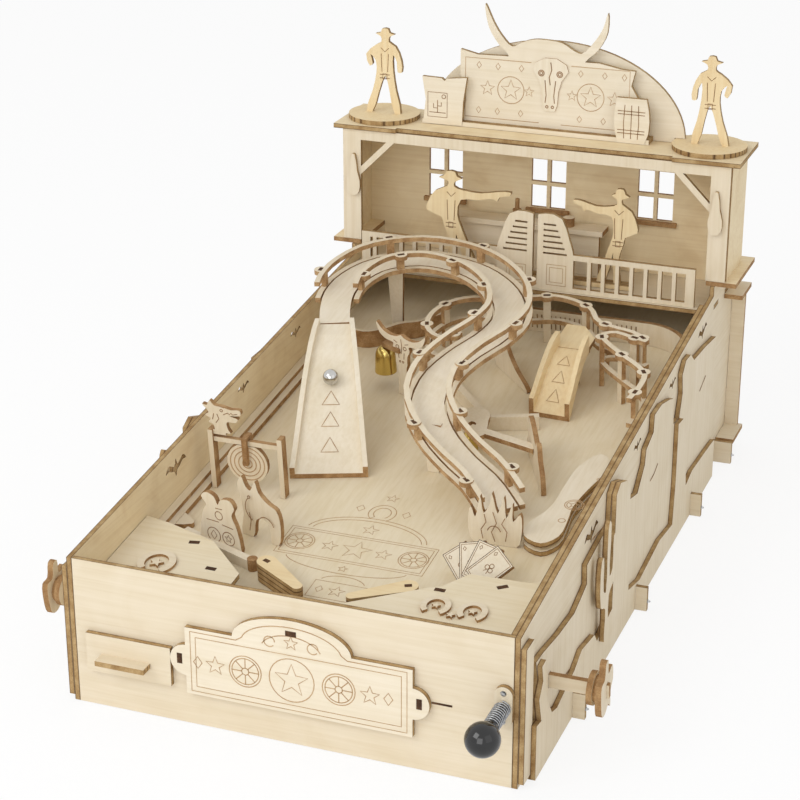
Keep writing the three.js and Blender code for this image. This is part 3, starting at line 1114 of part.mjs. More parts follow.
/** A round stand on the roof with a standing cowboy outline, turned inward. */
function roofFigure(side) {
  const stand = post(side * STAND_X, STAND_Y, ROOF_TOP + FIT, ROOF_TOP + FIT + PLY, STAND_RADIUS,
      ARC_STEPS * 1.5);
  const plate = facing(sheet(rounded(scaled(FIGURE_SHARES, ROOF_FIGURE_WIDTH, ROOF_FIGURE_HEIGHT), 2)))
    .trimByPlane([0, 0, 1], 0).translate([-ROOF_FIGURE_WIDTH / 2, 0, 0]);
  const body = (side < 0 ? plate : plate.mirror([1, 0, 0]))
    .translate([side * STAND_X, STAND_Y - PLY / 2, ROOF_TOP + PLY]);
  return stand.add(body);
}

/** The roof sign: arched backing, a parchment board with horns, a notice and a barrel. */
function roofSign() {
  const low = ROOF_TOP + FIT;
  const plate = (outline, x, layer) => facing(sheet(outline)).translate([x, ARCH_Y - PLY * layer, low]);
  const arch = plate(arc(0, 0, ARCH_HALF, ARCH_HEIGHT, 0, 180, ARC_STEPS * 1.5), ARCH_X, 0);
  const board = plate(scaled(PARCHMENT_SHARES, BOARD_WIDTH, BOARD_HEIGHT), BOARD_LEFT, 2).translate([0,
      0, PLY / 2]);
  const horns = plate(rounded(scaled(HORN_SHARES, HORN_SPAN, HORN_LIFT)), -HORN_SPAN / 2, 2);
  const [nx, nw, nh] = NOTICE;
  const [bx, bw, bh] = BARREL;
  const notice = plate(scaled(NOTICE_SHARES, nw, nh), nx, 4);
  const barrel = plate(scaled(BARREL_SHARES, bw, bh), bx, 4);
  const foot = block([nx, ARCH_Y - PLY * 4 + BITE, low], [bx + bw, ARCH_Y + BITE, low + PLY]);
  const clear = block([STAND_X - STAND_RADIUS - BITE, ARCH_Y - PLY, low - PLY], [STAND_X,
      ARCH_Y + PLY * 2, low + PLY + FIT]);
  return joined(arch.subtract(clear), board, horns, notice, barrel, foot);
}

// Assembly.

const flipX = (solid) => solid.mirror([1, 0, 0]);

add('front_panel', frontPanel());
add('wall_right', wall(1));
add('wall_left', flipX(wall(-1)), 'plyDark');
add('mesa_right', mesas());
add('mesa_left', flipX(mesas()));
add('back_panel', backPanel());
BAR_PLACES.forEach((y, i) => add(`cross_bar_${i + 1}`, crossBar(y)));
add('play_field', field());
add('drawer_tray', drawerTray());
add('drawer_front', drawerFront());
add('sign_plate', signPlate());
add('plunger_knob', plungerKnob(), 'black');
add('plunger_rod', plungerRod(), 'steel');
add('plunger_spring', plungerSpring(), 'steel');
add('plunger_bracket', plungerBracket());
for (const [side, word] of [[-1, 'left'], [1, 'right']]) {
  add(`flipper_${word}`, flipper(side));
  add(`push_rod_${word}`, pushRod(side));
  add(`push_knob_${word}`, pushKnob(side));
  add(`apron_${word}`, apron(side));
}
add('lane_rail', laneRail());
add('straight_ramp', onField(funnelRamp(RAMP_FOOT, RAMP_HEAD, LOOP_HEIGHT, RAMP_FOOT_WIDTH, DECK_WIDTH,
    LUG_RADIUS)));
add('loop_deck', loopDeck());
add('loop_rail_outer', loopRail(1));
add('loop_rail_inner', loopRail(-1));
add('small_ramp', smallRamp());
add('guide_rails', guideRails());
add('ring_guide', ringGuide());
add('kerf_fence', kerfFence());
add('target_frame', targetFrame());
add('target_disc', targetDisc());
add('money_bags', moneyBags());
add('bull_plate', bullPlate());
add('skull_stand', skullStand());
add('bell_left', bell(BELL_LEFT), 'brass');
add('bell_right', bell(BELL_RIGHT, LOW_BELL_SHARE), 'brass');
add('v_rail', vRail());
add('pistol_plate', pistolPlate());
add('flame_plate', flamePlate());
add('card_fan', cardFan());
add('knife_plate', knifePlate());
add('lane_guide', laneGuide());
add('ball', ball(), 'steel');
add('saloon_floor', saloonFloor());
add('saloon_shell', saloonShell());
add('saloon_frame', saloonFrame());
add('railing', railing());
add('bar_counter', barCounter());
add('gunmen', gunmen());
add('roof_board', roofBoard());
add('roof_figure_left', roofFigure(-1));
add('roof_figure_right', roofFigure(1));
add('roof_sign', roofSign());

// Stand the whole on z = 0 with its box centred on the origin.
const whole = new THREE.Box3();
group.children.forEach((node) => {
  node.geometry.computeBoundingBox();
  whole.union(node.geometry.boundingBox);
});
const centre = whole.getCenter(new THREE.Vector3());
group.children.forEach((node) => node.geometry.translate(-centre.x, -centre.y, -whole.min.z));

export default group;
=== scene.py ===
"""Looks for a laser-cut plywood table-top pinball game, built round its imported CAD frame.

Every piece is in metres in the frame's own axes: X along the front panel, Y to the back, Z up.
Sizes in the dataclasses are millimetres of the box drawing and turn to metres where a mesh is made.
"""
from __future__ import annotations

import logging
import math
from collections import defaultdict
from dataclasses import dataclass
from enum import Enum

import bpy
import bmesh
from mathutils import Euler, Matrix, Vector


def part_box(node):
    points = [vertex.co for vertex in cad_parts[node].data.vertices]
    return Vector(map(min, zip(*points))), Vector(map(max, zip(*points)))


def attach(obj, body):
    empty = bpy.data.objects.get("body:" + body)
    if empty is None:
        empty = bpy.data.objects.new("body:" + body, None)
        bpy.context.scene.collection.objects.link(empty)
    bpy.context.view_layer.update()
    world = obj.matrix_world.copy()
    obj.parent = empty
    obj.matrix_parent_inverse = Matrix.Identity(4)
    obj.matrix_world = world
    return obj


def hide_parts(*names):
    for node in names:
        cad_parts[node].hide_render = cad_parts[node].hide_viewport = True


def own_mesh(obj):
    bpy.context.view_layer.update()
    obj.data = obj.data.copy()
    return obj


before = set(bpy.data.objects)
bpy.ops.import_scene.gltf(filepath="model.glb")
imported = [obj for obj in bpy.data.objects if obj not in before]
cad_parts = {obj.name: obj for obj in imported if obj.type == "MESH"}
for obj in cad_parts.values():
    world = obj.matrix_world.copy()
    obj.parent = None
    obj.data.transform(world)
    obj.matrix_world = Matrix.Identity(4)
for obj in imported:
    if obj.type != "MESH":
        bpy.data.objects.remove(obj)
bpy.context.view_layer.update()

MM = 0.001
FIELD_DEGREES = 6.0
FIELD_Z = 46.5
# From the box drawing's origin to the frame's, in mm
SHIFT = Vector((0.0, -210.5, 0.0))
PLY = 3.0
SKIN = 0.02
LINE_DEPTH = 0.12
SLOT_HEIGHT = 0.16
SCREW_HEIGHT = 0.9
# Corners of a mesh on one step of this grid, in steps per metre, count as one corner
CORNER_GRID = 2e5
# Least cosine between the normals of two faces in one flat region
ONE_FLAT = 0.9998
# Least cosine between a face's normal and the way that it looks along
LOOKS_ALONG = 0.7
log = logging.getLogger("pinball")

Point = tuple[float, float]
Path = list[Point]
Place = tuple[float, float, float]
Colour = tuple[float, float, float, float]
# Sizes that belong together
Pair, Triple = Point, Place
Tree, Node, Socket = bpy.types.NodeTree, bpy.types.Node, bpy.types.NodeSocket
Material, Mesh, Piece = bpy.types.Material, bpy.types.Mesh, bpy.types.Object
X_WAY, Y_WAY, Z_WAY = Vector((1, 0, 0)), Vector((0, 1, 0)), Vector((0, 0, 1))


# Small tools


def linear(code: str) -> Colour:
    """Turn an sRGB hex colour to the linear colour that the shader takes.

    Args:
        code: Six hex digits after a hash sign.

    Returns:
        Red, green, blue and alpha, linear.
    """
    parts = [int(code[i : i + 2], 16) / 255 for i in (1, 3, 5)]
    out = [p / 12.92 if p <= 0.04045 else ((p + 0.055) / 1.055) ** 2.4 for p in parts]
    return (out[0], out[1], out[2], 1.0)


def node(tree: Tree, kind: str, settings: dict | None = None, **links) -> Node:
    """Add a node with its settings and its links.

    Args:
        tree: The tree that gets the node.
        kind: Blender's type name of the node.
        settings: Node properties by name.
        **links: Input values or source sockets, by input name with underscores for spaces, or by _number.

    Returns:
        The new node.
    """
    made = tree.nodes.new(kind)
    for key, value in (settings or {}).items():
        setattr(made, key, value)
    for key, value in links.items():
        slot = made.inputs[int(key[1:])] if key.startswith("_") else made.inputs[key.replace("_", " ")]
        if isinstance(value, Socket):
            tree.links.new(value, slot)
        else:
            slot.default_value = value
    return made


def ramp(tree: Tree, source: Socket, stops: list[tuple[float, str]]) -> Socket:
    """Map a value to colours.

    Args:
        tree: The shader tree.
        source: The value, 0 to 1.
        stops: Places and hex colours, two or more.

    Returns:
        The colour socket.
    """
    made = node(tree, "ShaderNodeValToRGB", _0=source)
    bar = made.color_ramp.elements
    while len(bar) < len(stops):
        bar.new(0.5)
    for element, (place, code) in zip(bar, stops):
        element.position = place
        element.color = linear(code)
    return made.outputs["Color"]


def bare_material(name: str) -> tuple[Material, Tree, Socket]:
    """Start a material.

    Args:
        name: The material's name.

    Returns:
        The material, its emptied tree and the object coordinates in it.
    """
    made = bpy.data.materials.new(name)
    made.use_nodes = True
    made.node_tree.nodes.clear()
    return made, made.node_tree, node(made.node_tree, "ShaderNodeTexCoord").outputs["Object"]


def noise(tree: Tree, place: Socket, size_mm: float, detail: float = 2.0,
          distortion: float = 0.0) -> Socket:
    """Return noise whose patches are a real size across.

    Args:
        tree: The shader tree.
        place: The coordinates, in metres.
        size_mm: The size of a patch.
        detail: How many finer layers it has.
        distortion: How far it is bent.

    Returns:
        The value socket, 0 to 1.
    """
    return node(tree, "ShaderNodeTexNoise", Vector=place, Scale=1 / (size_mm * MM), Detail=detail,
                Roughness=0.55, Distortion=distortion).outputs[0]


def seen_directly(tree: Tree) -> Socket:
    """Return a socket that is 1 where the camera or a shine sees the surface, and 0 elsewhere."""
    rays = node(tree, "ShaderNodeLightPath").outputs
    return node(tree, "ShaderNodeMath", {"operation": "MAXIMUM"}, _0=rays["Is Camera Ray"],
                _1=rays["Is Glossy Ray"]).outputs[0]


# Flat places that marks are laid on


@dataclass(frozen=True)
class Plane:
    """A flat place on a piece: its origin, the way right and the way up on it, in metres."""

    origin: Vector
    right: Vector
    up: Vector

    def out(self) -> Vector:
        """Return the way out of the plane."""
        return self.right.cross(self.up).normalized()

    def matrix(self) -> Matrix:
        """Return the matrix that lays level millimetres on this plane."""
        turn = Matrix((self.right, self.up, self.out())).transposed().to_4x4()
        return Matrix.Translation(self.origin) @ turn @ Matrix.Scale(MM, 4)


def drawn(x: float, y: float, z: float) -> Vector:
    """Turn a place of the box drawing, in mm, to the frame, in metres."""
    return (Vector((x, y, z)) + SHIFT) * MM


def field_turn(turn: float = 0.0) -> Matrix:
    """Return the field's tilt after a turn about its own upright, in degrees."""
    return Matrix.Rotation(math.radians(FIELD_DEGREES), 3, "X") @ Matrix.Rotation(math.radians(turn), 3, "Z")


def on_field(x: float, y: float, z: float = 0.0) -> Vector:
    """Turn a place on the tilted field, in mm, to the frame, in metres."""
    turned = field_turn() @ Vector((x, y, z))
    return drawn(turned.x, turned.y, turned.z + FIELD_Z)


def field_plane(x: float = 0.0, y: float = 0.0, z: float = 0.0, turn: float = 0.0) -> Plane:
    """Return a plane level with the field, through a place on it, turned by degrees."""
    return Plane(on_field(x, y, z), field_turn(turn) @ X_WAY, field_turn(turn) @ Y_WAY)


def upright_plane(x: float, y: float, low: float, width: float, turn: float = 0.0,
                  near: float = 0.0) -> Plane:
    """Return the near face of a plate that stands on the field.

    Args:
        x: Where the plate's middle stands.
        y: Where it stands along the field.
        low: How high its foot is.
        width: Its width; the plane starts at its left end.
        turn: Its turn in degrees.
        near: How far its near face lies from its middle line.

    Returns:
        The plane, with up along the plate.
    """
    corner = Matrix.Rotation(math.radians(turn), 3, "Z") @ Vector((-width / 2, near - SKIN, low))
    face = field_turn(turn)
    return Plane(on_field(x + corner.x, y + corner.y, corner.z), face @ X_WAY, face @ Z_WAY)


def front_plane(x: float, y: float, z: float) -> Plane:
    """Return an upright plane that looks to the front, through a place of the box drawing."""
    return Plane(drawn(x, y, z), X_WAY, Z_WAY)


def side_plane(x: float) -> Plane:
    """Return a plane that looks outward at a side wall; its places are along and up."""
    return Plane(drawn(x, 0, 0), Y_WAY if x > 0 else -Y_WAY, Z_WAY)


# Lines and outlines, in mm


def arc(cx: float, cy: float, rx: float, ry: float, start: float, end: float, steps: int = 24) -> Path:
    """Return points along an arc, angles in degrees."""
    turn = [math.radians(start + (end - start) * i / steps) for i in range(steps + 1)]
    return [(cx + rx * math.cos(a), cy + ry * math.sin(a)) for a in turn]


def closed(points: Path) -> Path:
    """Return the points with the first one repeated at the end."""
    return points + points[:1]


def ring(cx: float, cy: float, rx: float, ry: float | None = None, steps: int = 28) -> Path:
    """Return a closed circle, or an oval where it has two radii."""
    return closed(arc(cx, cy, rx, ry or rx, 0, 360, steps)[:-1])


def oblong(x0: float, y0: float, x1: float, y1: float) -> Path:
    """Return a closed oblong between two corners."""
    return closed([(x0, y0), (x1, y0), (x1, y1), (x0, y1)])


def star(cx: float, cy: float, radius: float, tips: int = 5, waist: float = 0.42) -> Path:
    """Return a closed star."""
    turn = [math.pi / 2 + math.pi * i / tips for i in range(tips * 2)]
    reach = [radius if i % 2 == 0 else radius * waist for i in range(tips * 2)]
    return closed([(cx + r * math.cos(a), cy + r * math.sin(a)) for r, a in zip(reach, turn)])


def diamond(cx: float, cy: float, size: float) -> Path:
    """Return a closed card diamond."""
    return star(cx, cy, size, 2, 0.7)


def heart(cx: float, cy: float, size: float, up: int = 1) -> Path:
    """Return a closed card heart, or a spade's body where up is -1."""
    half = size * 0.42
    lobes = arc(cx + half, cy, half, half, 0, 180, 10) + arc(cx - half, cy, half, half, 0, 180, 10)
    tip = (cx, cy - size)
    return closed([(x, cy + (y - cy) * up) for x, y in [*lobes, tip]])


def spade(cx: float, cy: float, size: float) -> list[Path]:
    """Return a card spade: its body and its stem."""
    foot = size * 0.3
    return [heart(cx, cy, size, -1), [(cx - foot, cy - size), (cx, cy - size * 0.4), (cx + foot, cy - size)]]


def club(cx: float, cy: float, size: float) -> list[Path]:
    """Return a card club: three rings and a stem."""
    r = size * 0.36
    rings = [ring(cx, cy + size * 0.5, r)]
    rings += [ring(cx + side * r * 1.1, cy - r * 0.4, r) for side in (-1, 1)]
    return rings + [[(cx - r, cy - size), (cx, cy - r * 0.4), (cx + r, cy - size)]]


def wheel(cx: float, cy: float, radius: float, spokes: int = 8) -> list[Path]:
    """Return a wagon wheel: rim, hub and spokes."""
    paths = [ring(cx, cy, radius), ring(cx, cy, radius * 0.84), ring(cx, cy, radius * 0.22)]
    for i in range(spokes):
        a = 2 * math.pi * i / spokes
        paths.append([(cx + radius * s * math.cos(a), cy + radius * s * math.sin(a)) for s in (0.22, 0.84)])
    return paths


def horseshoe(cx: float, cy: float, radius: float, width: float) -> Path:
    """Return an open horseshoe outline, heels down, counter-clockwise."""
    outer = arc(cx, cy, radius, radius * 1.1, -52, 232, 26)
    inner = arc(cx, cy, radius - width, radius * 1.1 - width, 232, -52, 26)
    return outer + inner


def smooth_path(stations: list[Place], steps: int) -> list[Vector]:
    """Return evenly spaced points along a smooth curve through stations.

    Args:
        stations: Places that the curve passes, in mm.
        steps: How many equal steps it is cut to.

    Returns:
        The points, one more than the steps.
    """
    knots = [Vector(s) for s in stations]
    knots = [knots[0] * 2 - knots[1], *knots, knots[-1] * 2 - knots[-2]]
    spans = len(knots) - 3

    def place(t: float) -> Vector:
        """Return the curve's place at a share of its spans."""
        at = min(int(t * spans), spans - 1)
        p0, p1, p2, p3 = knots[at : at + 4]
        w = t * spans - at
        d0, d1, d2 = [math.sqrt((b - a).length) for a, b in ((p0, p1), (p1, p2), (p2, p3))]
        t1 = ((p1 - p0) / d0 - (p2 - p0) / (d0 + d1) + (p2 - p1) / d1) * d1
        t2 = ((p2 - p1) / d1 - (p3 - p1) / (d1 + d2) + (p3 - p2) / d2) * d1
        c2, c3 = (p2 - p1) * 3 - t1 * 2 - t2, (p1 - p2) * 2 + t1 + t2
        return p1 + t1 * w + c2 * w ** 2 + c3 * w ** 3

    cuts = 200
    fine = [place(i / cuts) for i in range(cuts + 1)]
    reach = [0.0]
    for a, b in zip(fine, fine[1:]):
        reach.append(reach[-1] + (b - a).length)
    out, at = [], 0
    for i in range(steps + 1):
        want = reach[-1] * i / steps
        while at < cuts - 1 and reach[at + 1] < want:
            at += 1
        share = (want - reach[at]) / (reach[at + 1] - reach[at])
        out.append(place((at + share) / cuts))
    return out


# Finishes


class Grain(Enum):
    """The way the veneer's grain runs, as the turn that lays the pattern's X along it."""

    ALONG_X = (0.0, 0.0, 0.0)
    ALONG_Y = (0.0, 0.0, math.pi / 2)
    ALONG_Z = (0.0, math.pi / 2, 0.0)


ALONG_X, ALONG_Y, ALONG_Z = Grain


@dataclass(frozen=True)
class PlyFace:
    """Rotary-cut birch ply, sanded and unsealed: cream, faintly streaked, almost matt.

    Streaks are about 2 mm across and 75 mm long, clouds of tone 46 mm, fibres 0.5 mm across.
    """

    name: str = "birch_ply_sanded"
    pale: str = "#E9DCC6"
    body: str = "#E2D4BA"
    streak: str = "#D8C7A8"
    streak_mm: float = 2.2
    streak_length: float = 34.0
    cloud_mm: float = 46.0
    figure: float = 0.5
    roughness: float = 0.64

    def material(self, grain: Grain) -> Material:
        """Build the material for one grain direction."""
        made, tree, place = bare_material(f"{self.name}_{grain.name.lower()}")
        turned = node(tree, "ShaderNodeMapping", Vector=place, Rotation=grain.value).outputs[0]
        drawn_out = (1 / self.streak_length, 1.0, 1.0)
        along = node(tree, "ShaderNodeMapping", Vector=turned, Scale=drawn_out).outputs[0]
        streaks = noise(tree, along, self.streak_mm, 4.0, 0.4)
        clouds = noise(tree, turned, self.cloud_mm, 3.0, 1.2)
        fibres = noise(tree, along, 0.5)
        tone = ramp(tree, streaks, [(0.3, self.streak), (0.52, self.body), (0.75, self.pale)])
        cloudy = ramp(tree, clouds, [(0.25, self.streak), (0.5, self.body), (0.8, self.pale)])
        colours = {"data_type": "RGBA"}
        mixed = node(tree, "ShaderNodeMix", colours, _0=self.figure, _6=tone, _7=cloudy).outputs[2]
        bump = node(tree, "ShaderNodeBump", Height=fibres, Strength=0.1, Distance=0.00008).outputs[0]
        shader = node(tree, "ShaderNodeBsdfPrincipled", Base_Color=mixed, Roughness=self.roughness,
                      Normal=bump, Specular_IOR_Level=0.25)
        node(tree, "ShaderNodeOutputMaterial", Surface=shader.outputs[0])
        return made


@dataclass(frozen=True)
class LaserEdge:
    """The edge a laser leaves on plywood: brown core, darker rims where the beam went in and out.

    The beam's ripples are 0.7 mm across, the patches where it paused 7 mm; a rim fades out over a fifth
    of a sheet.
    """

    name: str = "laser_cut_ply_edge"
    rim: str = "#4E3220"
    dark: str = "#84603C"
    body: str = "#A07C54"
    light: str = "#BE9C70"
    ripple_mm: float = 0.7
    patch_mm: float = 7.0
    roughness: float = 0.8

    def material(self, sheets: Plane | None = None) -> Material:
        """Build the material.

        Args:
            sheets: A plane that a sheet's face lies in, so that every sheet gets its dark rims.

        Returns:
            The material.
        """
        made, tree, place = bare_material(self.name)
        ripples = noise(tree, place, self.ripple_mm)
        patches = noise(tree, place, self.patch_mm, 3.0)
        numbers, colours = {"data_type": "FLOAT"}, {"data_type": "RGBA"}
        blend = node(tree, "ShaderNodeMix", numbers, _0=0.35, _2=patches, _3=ripples).outputs[0]
        tone = ramp(tree, blend, [(0.32, self.dark), (0.5, self.body), (0.68, self.light)])
        if sheets:
            across = sheets.out() / (PLY * MM)
            deep = node(tree, "ShaderNodeVectorMath", {"operation": "DOT_PRODUCT"}, _0=place, _1=across)
            shift = node(tree, "ShaderNodeMath", {"operation": "SUBTRACT"}, _0=deep.outputs["Value"],
                         _1=across.dot(sheets.origin))
            share = node(tree, "ShaderNodeMath", {"operation": "FRACT"}, _0=shift.outputs[0]).outputs[0]
            full, part, none = "#FFFFFF", "#B0B0B0", "#000000"
            rims = ramp(tree, share, [(0.0, full), (0.1, part), (0.2, none), (0.8, none), (0.9, part),
                                      (1.0, full)])
            tone = node(tree, "ShaderNodeMix", colours, _0=rims, _6=tone, _7=linear(self.rim)).outputs[2]
        bump = node(tree, "ShaderNodeBump", Height=ripples, Strength=0.25, Distance=0.0001).outputs[0]
        shader = node(tree, "ShaderNodeBsdfPrincipled", Base_Color=tone, Roughness=self.roughness,
                      Normal=bump, Specular_IOR_Level=0.2)
        node(tree, "ShaderNodeOutputMaterial", Surface=shader.outputs[0])
        return made


@dataclass(frozen=True)
class Metal:
    """A bare metal: its tone, its shine and the fine marks of how it was made."""

    name: str
    tone: str
    shade: str
    roughness: float
    mark_mm: float = 1.5
    bump: float = 0.03

    def material(self) -> Material:
        """Build the material."""
        made, tree, place = bare_material(self.name)
        marks = noise(tree, place, self.mark_mm, 3.0)
        tone = ramp(tree, marks, [(0.3, self.shade), (0.7, self.tone)])
        rough = node(tree, "ShaderNodeMapRange", Value=marks, To_Min=self.roughness * 0.85,
                     To_Max=self.roughness * 1.2).outputs[0]
        bump = node(tree, "ShaderNodeBump", Height=marks, Strength=self.bump, Distance=0.00005).outputs[0]
        shader = node(tree, "ShaderNodeBsdfPrincipled", Base_Color=tone, Metallic=1.0, Roughness=rough,
                      Normal=bump)
        node(tree, "ShaderNodeOutputMaterial", Surface=shader.outputs[0])
        return made


@dataclass(frozen=True)
class GlossKnob:
    """Phenolic plastic, moulded and polished: deep black with a clear hard shine."""

    name: str = "phenolic_moulded_black"
    tone: str = "#0C0C0D"
    shade: str = "#070708"
    roughness: float = 0.09

    def material(self) -> Material:
        """Build the material."""
        made, tree, place = bare_material(self.name)
        tone = ramp(tree, noise(tree, place, 4.0), [(0.4, self.shade), (0.65, self.tone)])
        shader = node(tree, "ShaderNodeBsdfPrincipled", Base_Color=tone, Roughness=self.roughness, IOR=1.6)
        node(tree, "ShaderNodeOutputMaterial", Surface=shader.outputs[0])
        return made


@dataclass(frozen=True)
class PaperSweep:
    """The white paper the model stands on; it shows white to the camera and keeps the shadow."""

    name: str = "paper_matt_white"
    tone: str = "#FFFFFF"
    own_light: float = 0.82

    def material(self) -> Material:
        """Build the material."""
        made, tree, _ = bare_material(self.name)
        share = node(tree, "ShaderNodeMath", {"operation": "MULTIPLY"}, _0=seen_directly(tree),
                     _1=self.own_light).outputs[0]
        matt = node(tree, "ShaderNodeBsdfDiffuse", Color=linear(self.tone)).outputs[0]
        glow = node(tree, "ShaderNodeEmission", Color=(1, 1, 1, 1), Strength=1.0).outputs[0]
        both = node(tree, "ShaderNodeMixShader", _0=share, _1=matt, _2=glow).outputs[0]
        node(tree, "ShaderNodeOutputMaterial", Surface=both)
        return made


class Finishes:
    """Every material of the game, built once."""

    def __init__(self) -> None:
        """Build the materials."""
        field = PlyFace("birch_ply_field", "#EBDEC5", "#E5D7BA", "#DBCAA6")
        pale = PlyFace("birch_ply_pale", "#EFE5D2", "#E8DCC5", "#DED0B4")
        honey = PlyFace("birch_ply_honey", "#F0DFB9", "#E9D3A8", "#DDC293")
        back = PlyFace("birch_ply_reverse", "#F2E2C0", "#E9D6B0", "#D8BF96", figure=0.62, cloud_mm=30.0)
        self.face, self.field, self.pale, self.honey, self.shade = [
            {g: kind.material(g) for g in Grain} for kind in (PlyFace(), field, pale, honey, back)]
        self.edge = LaserEdge().material()
        self.rail = LaserEdge("laser_cut_ply_edge_light", dark="#8C6844", body="#AE8B62",
                              light="#CBAD83").material()
        self.line = LaserEdge("laser_scored_line", dark="#A98560", body="#BC9B75", light="#CDB08B").material()
        self.deep = LaserEdge("laser_engraved_deep", dark="#7D5A3C", body="#93704E",
                              light="#A98664").material()
        # Scorch for tenon ends and card rims; on the panel slot it is also painted shade inside the hole
        self.burn = LaserEdge("laser_cut_slot", dark="#35231A", body="#513826", light="#795A3E").material()
        self.steel = Metal("steel_ball_polished", "#C9C8C5", "#BCBBB8", 0.08, 6.0, 0.0).material()
        self.spring = Metal("spring_steel_drawn", "#B5B7BA", "#8E9093", 0.25).material()
        # Darker steel: on the plunger rod, which shows only through the spring's gaps, it is painted shade
        # inside the coil; on the bell bolt it is the bolt's own dark steel
        self.rod = Metal("steel_dark_and_painted_coil_shade", "#77797D", "#595B5F", 0.35).material()
        self.zinc = Metal("steel_screw_zinc_plated", "#C3C4C4", "#9B9C9D", 0.3).material()
        self.brass = Metal("brass_turned", "#D6BE74", "#CDB468", 0.24, 9.0, 0.0).material()
        self.black = GlossKnob().material()
        self.edges: dict[tuple, Material] = {}

    def cut_edge(self, sheets: Plane) -> Material:
        """Return the scorched edge of the sheets whose faces lie in or beside a plane, made once."""
        out = sheets.out()
        key = (*(round(c, 3) for c in out), round((out.dot(sheets.origin) / MM) % PLY, 1))
        if key not in self.edges:
            name = f"laser_cut_ply_edge_{len(self.edges) + 1}"
            kind = LaserEdge(name, "#452A19", "#8C6A42", "#AA8C60", "#C4A87C")
            self.edges[key] = kind.material(sheets)
        return self.edges[key]


# Which faces of a cut sheet are veneer and which are scorched edge


class Cut(Enum):
    """How a node's scorched faces are told from its veneer."""

    BY_WIDTH = 0
    LEVEL = 1
    ACROSS_X = 2
    ACROSS_Y = 3
    LEVEL_AND_WIDE = 4


def flat_regions(mesh: Mesh) -> list[tuple[list[int], float]]:
    """Group a mesh's faces into flat regions.

    Args:
        mesh: Loose triangles, as the frame has them.

    Returns:
        Each region's face numbers and its width: twice its area over its perimeter, in mm.
    """
    keys = [tuple(round(c * CORNER_GRID) for c in v.co) for v in mesh.vertices]
    by_edge: dict[tuple, list[int]] = defaultdict(list)
    for poly in mesh.polygons:
        corners = [keys[v] for v in poly.vertices]
        for a, b in zip(corners, corners[1:] + corners[:1]):
            by_edge[(min(a, b), max(a, b))].append(poly.index)
    parent = list(range(len(mesh.polygons)))

    def root(i: int) -> int:
        """Return the region that stands for a face's own."""
        while parent[i] != i:
            parent[i] = parent[parent[i]]
            i = parent[i]
        return i

    normals = [p.normal.copy() for p in mesh.polygons]
    for faces in by_edge.values():
        if len(faces) == 2 and normals[faces[0]].dot(normals[faces[1]]) > ONE_FLAT:
            parent[root(faces[0])] = root(faces[1])
    area: dict[int, float] = defaultdict(float)
    rim: dict[int, float] = defaultdict(float)
    members: dict[int, list[int]] = defaultdict(list)
    for poly in mesh.polygons:
        area[root(poly.index)] += poly.area
        members[root(poly.index)].append(poly.index)
    for (a, b), faces in by_edge.items():
        roots = {root(f) for f in faces}
        if len(faces) == 1 or len(roots) > 1:
            length = math.dist(a, b) / CORNER_GRID
            for r in roots:
                rim[r] += length
    return [(members[r], 2 * area[r] / max(rim[r], 1e-9) / MM) for r in members]


def dress_sheet(name: str, face: Material, edge: Material, how: Cut = Cut.BY_WIDTH,
                reverse: Material | None = None, toward: Vector | None = None) -> None:
    """Give a CAD node its veneer and its scorched edges.

    Args:
        name: The CAD node.
        face: The veneer.
        edge: The scorched edge.
        how: How the edges are told.
        reverse: The veneer of faces that look along toward, if it differs.
        toward: The direction that the reverse looks to.
    """
    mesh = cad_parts[name].data
    mesh.materials.clear()
    for material in (face, edge, reverse or face):
        mesh.materials.append(material)
    level = field_turn() @ Z_WAY
    square = {Cut.LEVEL: level, Cut.ACROSS_X: X_WAY, Cut.ACROSS_Y: Y_WAY}
    scorched: set[int] = set()
    if how in square:
        scorched = {p.index for p in mesh.polygons if abs(p.normal.dot(square[how])) < LOOKS_ALONG}
    else:
        for members, width in flat_regions(mesh):
            if width < PLY * 1.03:
                scorched.update(members)
    if how is Cut.LEVEL_AND_WIDE:
        scorched = {i for i in scorched if abs(mesh.polygons[i].normal.dot(level)) < LOOKS_ALONG}
    for poly in mesh.polygons:
        looks_back = toward is not None and poly.normal.dot(toward) > LOOKS_ALONG
        poly.material_index = 1 if poly.index in scorched else 2 if looks_back else 0


def dress_whole(name: str, material: Material) -> None:
    """Give a CAD node one material all over."""
    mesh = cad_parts[name].data
    mesh.materials.clear()
    mesh.materials.append(material)
    for poly in mesh.polygons:
        poly.material_index = 0


# Geometry Nodes


def geometry_tree(name: str, *numbers: str) -> tuple[Tree, Node]:
    """Start a Geometry Nodes tree with named inputs.

    Args:
        name: The tree's name.
        *numbers: Names of its sizes; a material follows them.

    Returns:
        The tree and its input node.
    """
    tree = bpy.data.node_groups.new(name, "GeometryNodeTree")
    tree.interface.new_socket("Geometry", in_out="INPUT", socket_type="NodeSocketGeometry")
    for label in numbers:
        tree.interface.new_socket(label, in_out="INPUT", socket_type="NodeSocketFloat")
    tree.interface.new_socket("Material", in_out="INPUT", socket_type="NodeSocketMaterial")
    tree.interface.new_socket("Geometry", in_out="OUTPUT", socket_type="NodeSocketGeometry")
    return tree, tree.nodes.new("NodeGroupInput")


def finish_tree(tree: Tree, given: Node, shape: Socket) -> Tree:
    """End a tree in real geometry with its material set, and return it.

    Args:
        tree: The tree.
        given: Its input node.
        shape: The geometry it has made.

    Returns:
        The tree.
    """
    real = node(tree, "GeometryNodeRealizeInstances", Geometry=shape).outputs[0]
    done = node(tree, "GeometryNodeSetMaterial", Geometry=real, Material=given.outputs["Material"]).outputs[0]
    node(tree, "NodeGroupOutput", _0=done)
    return tree


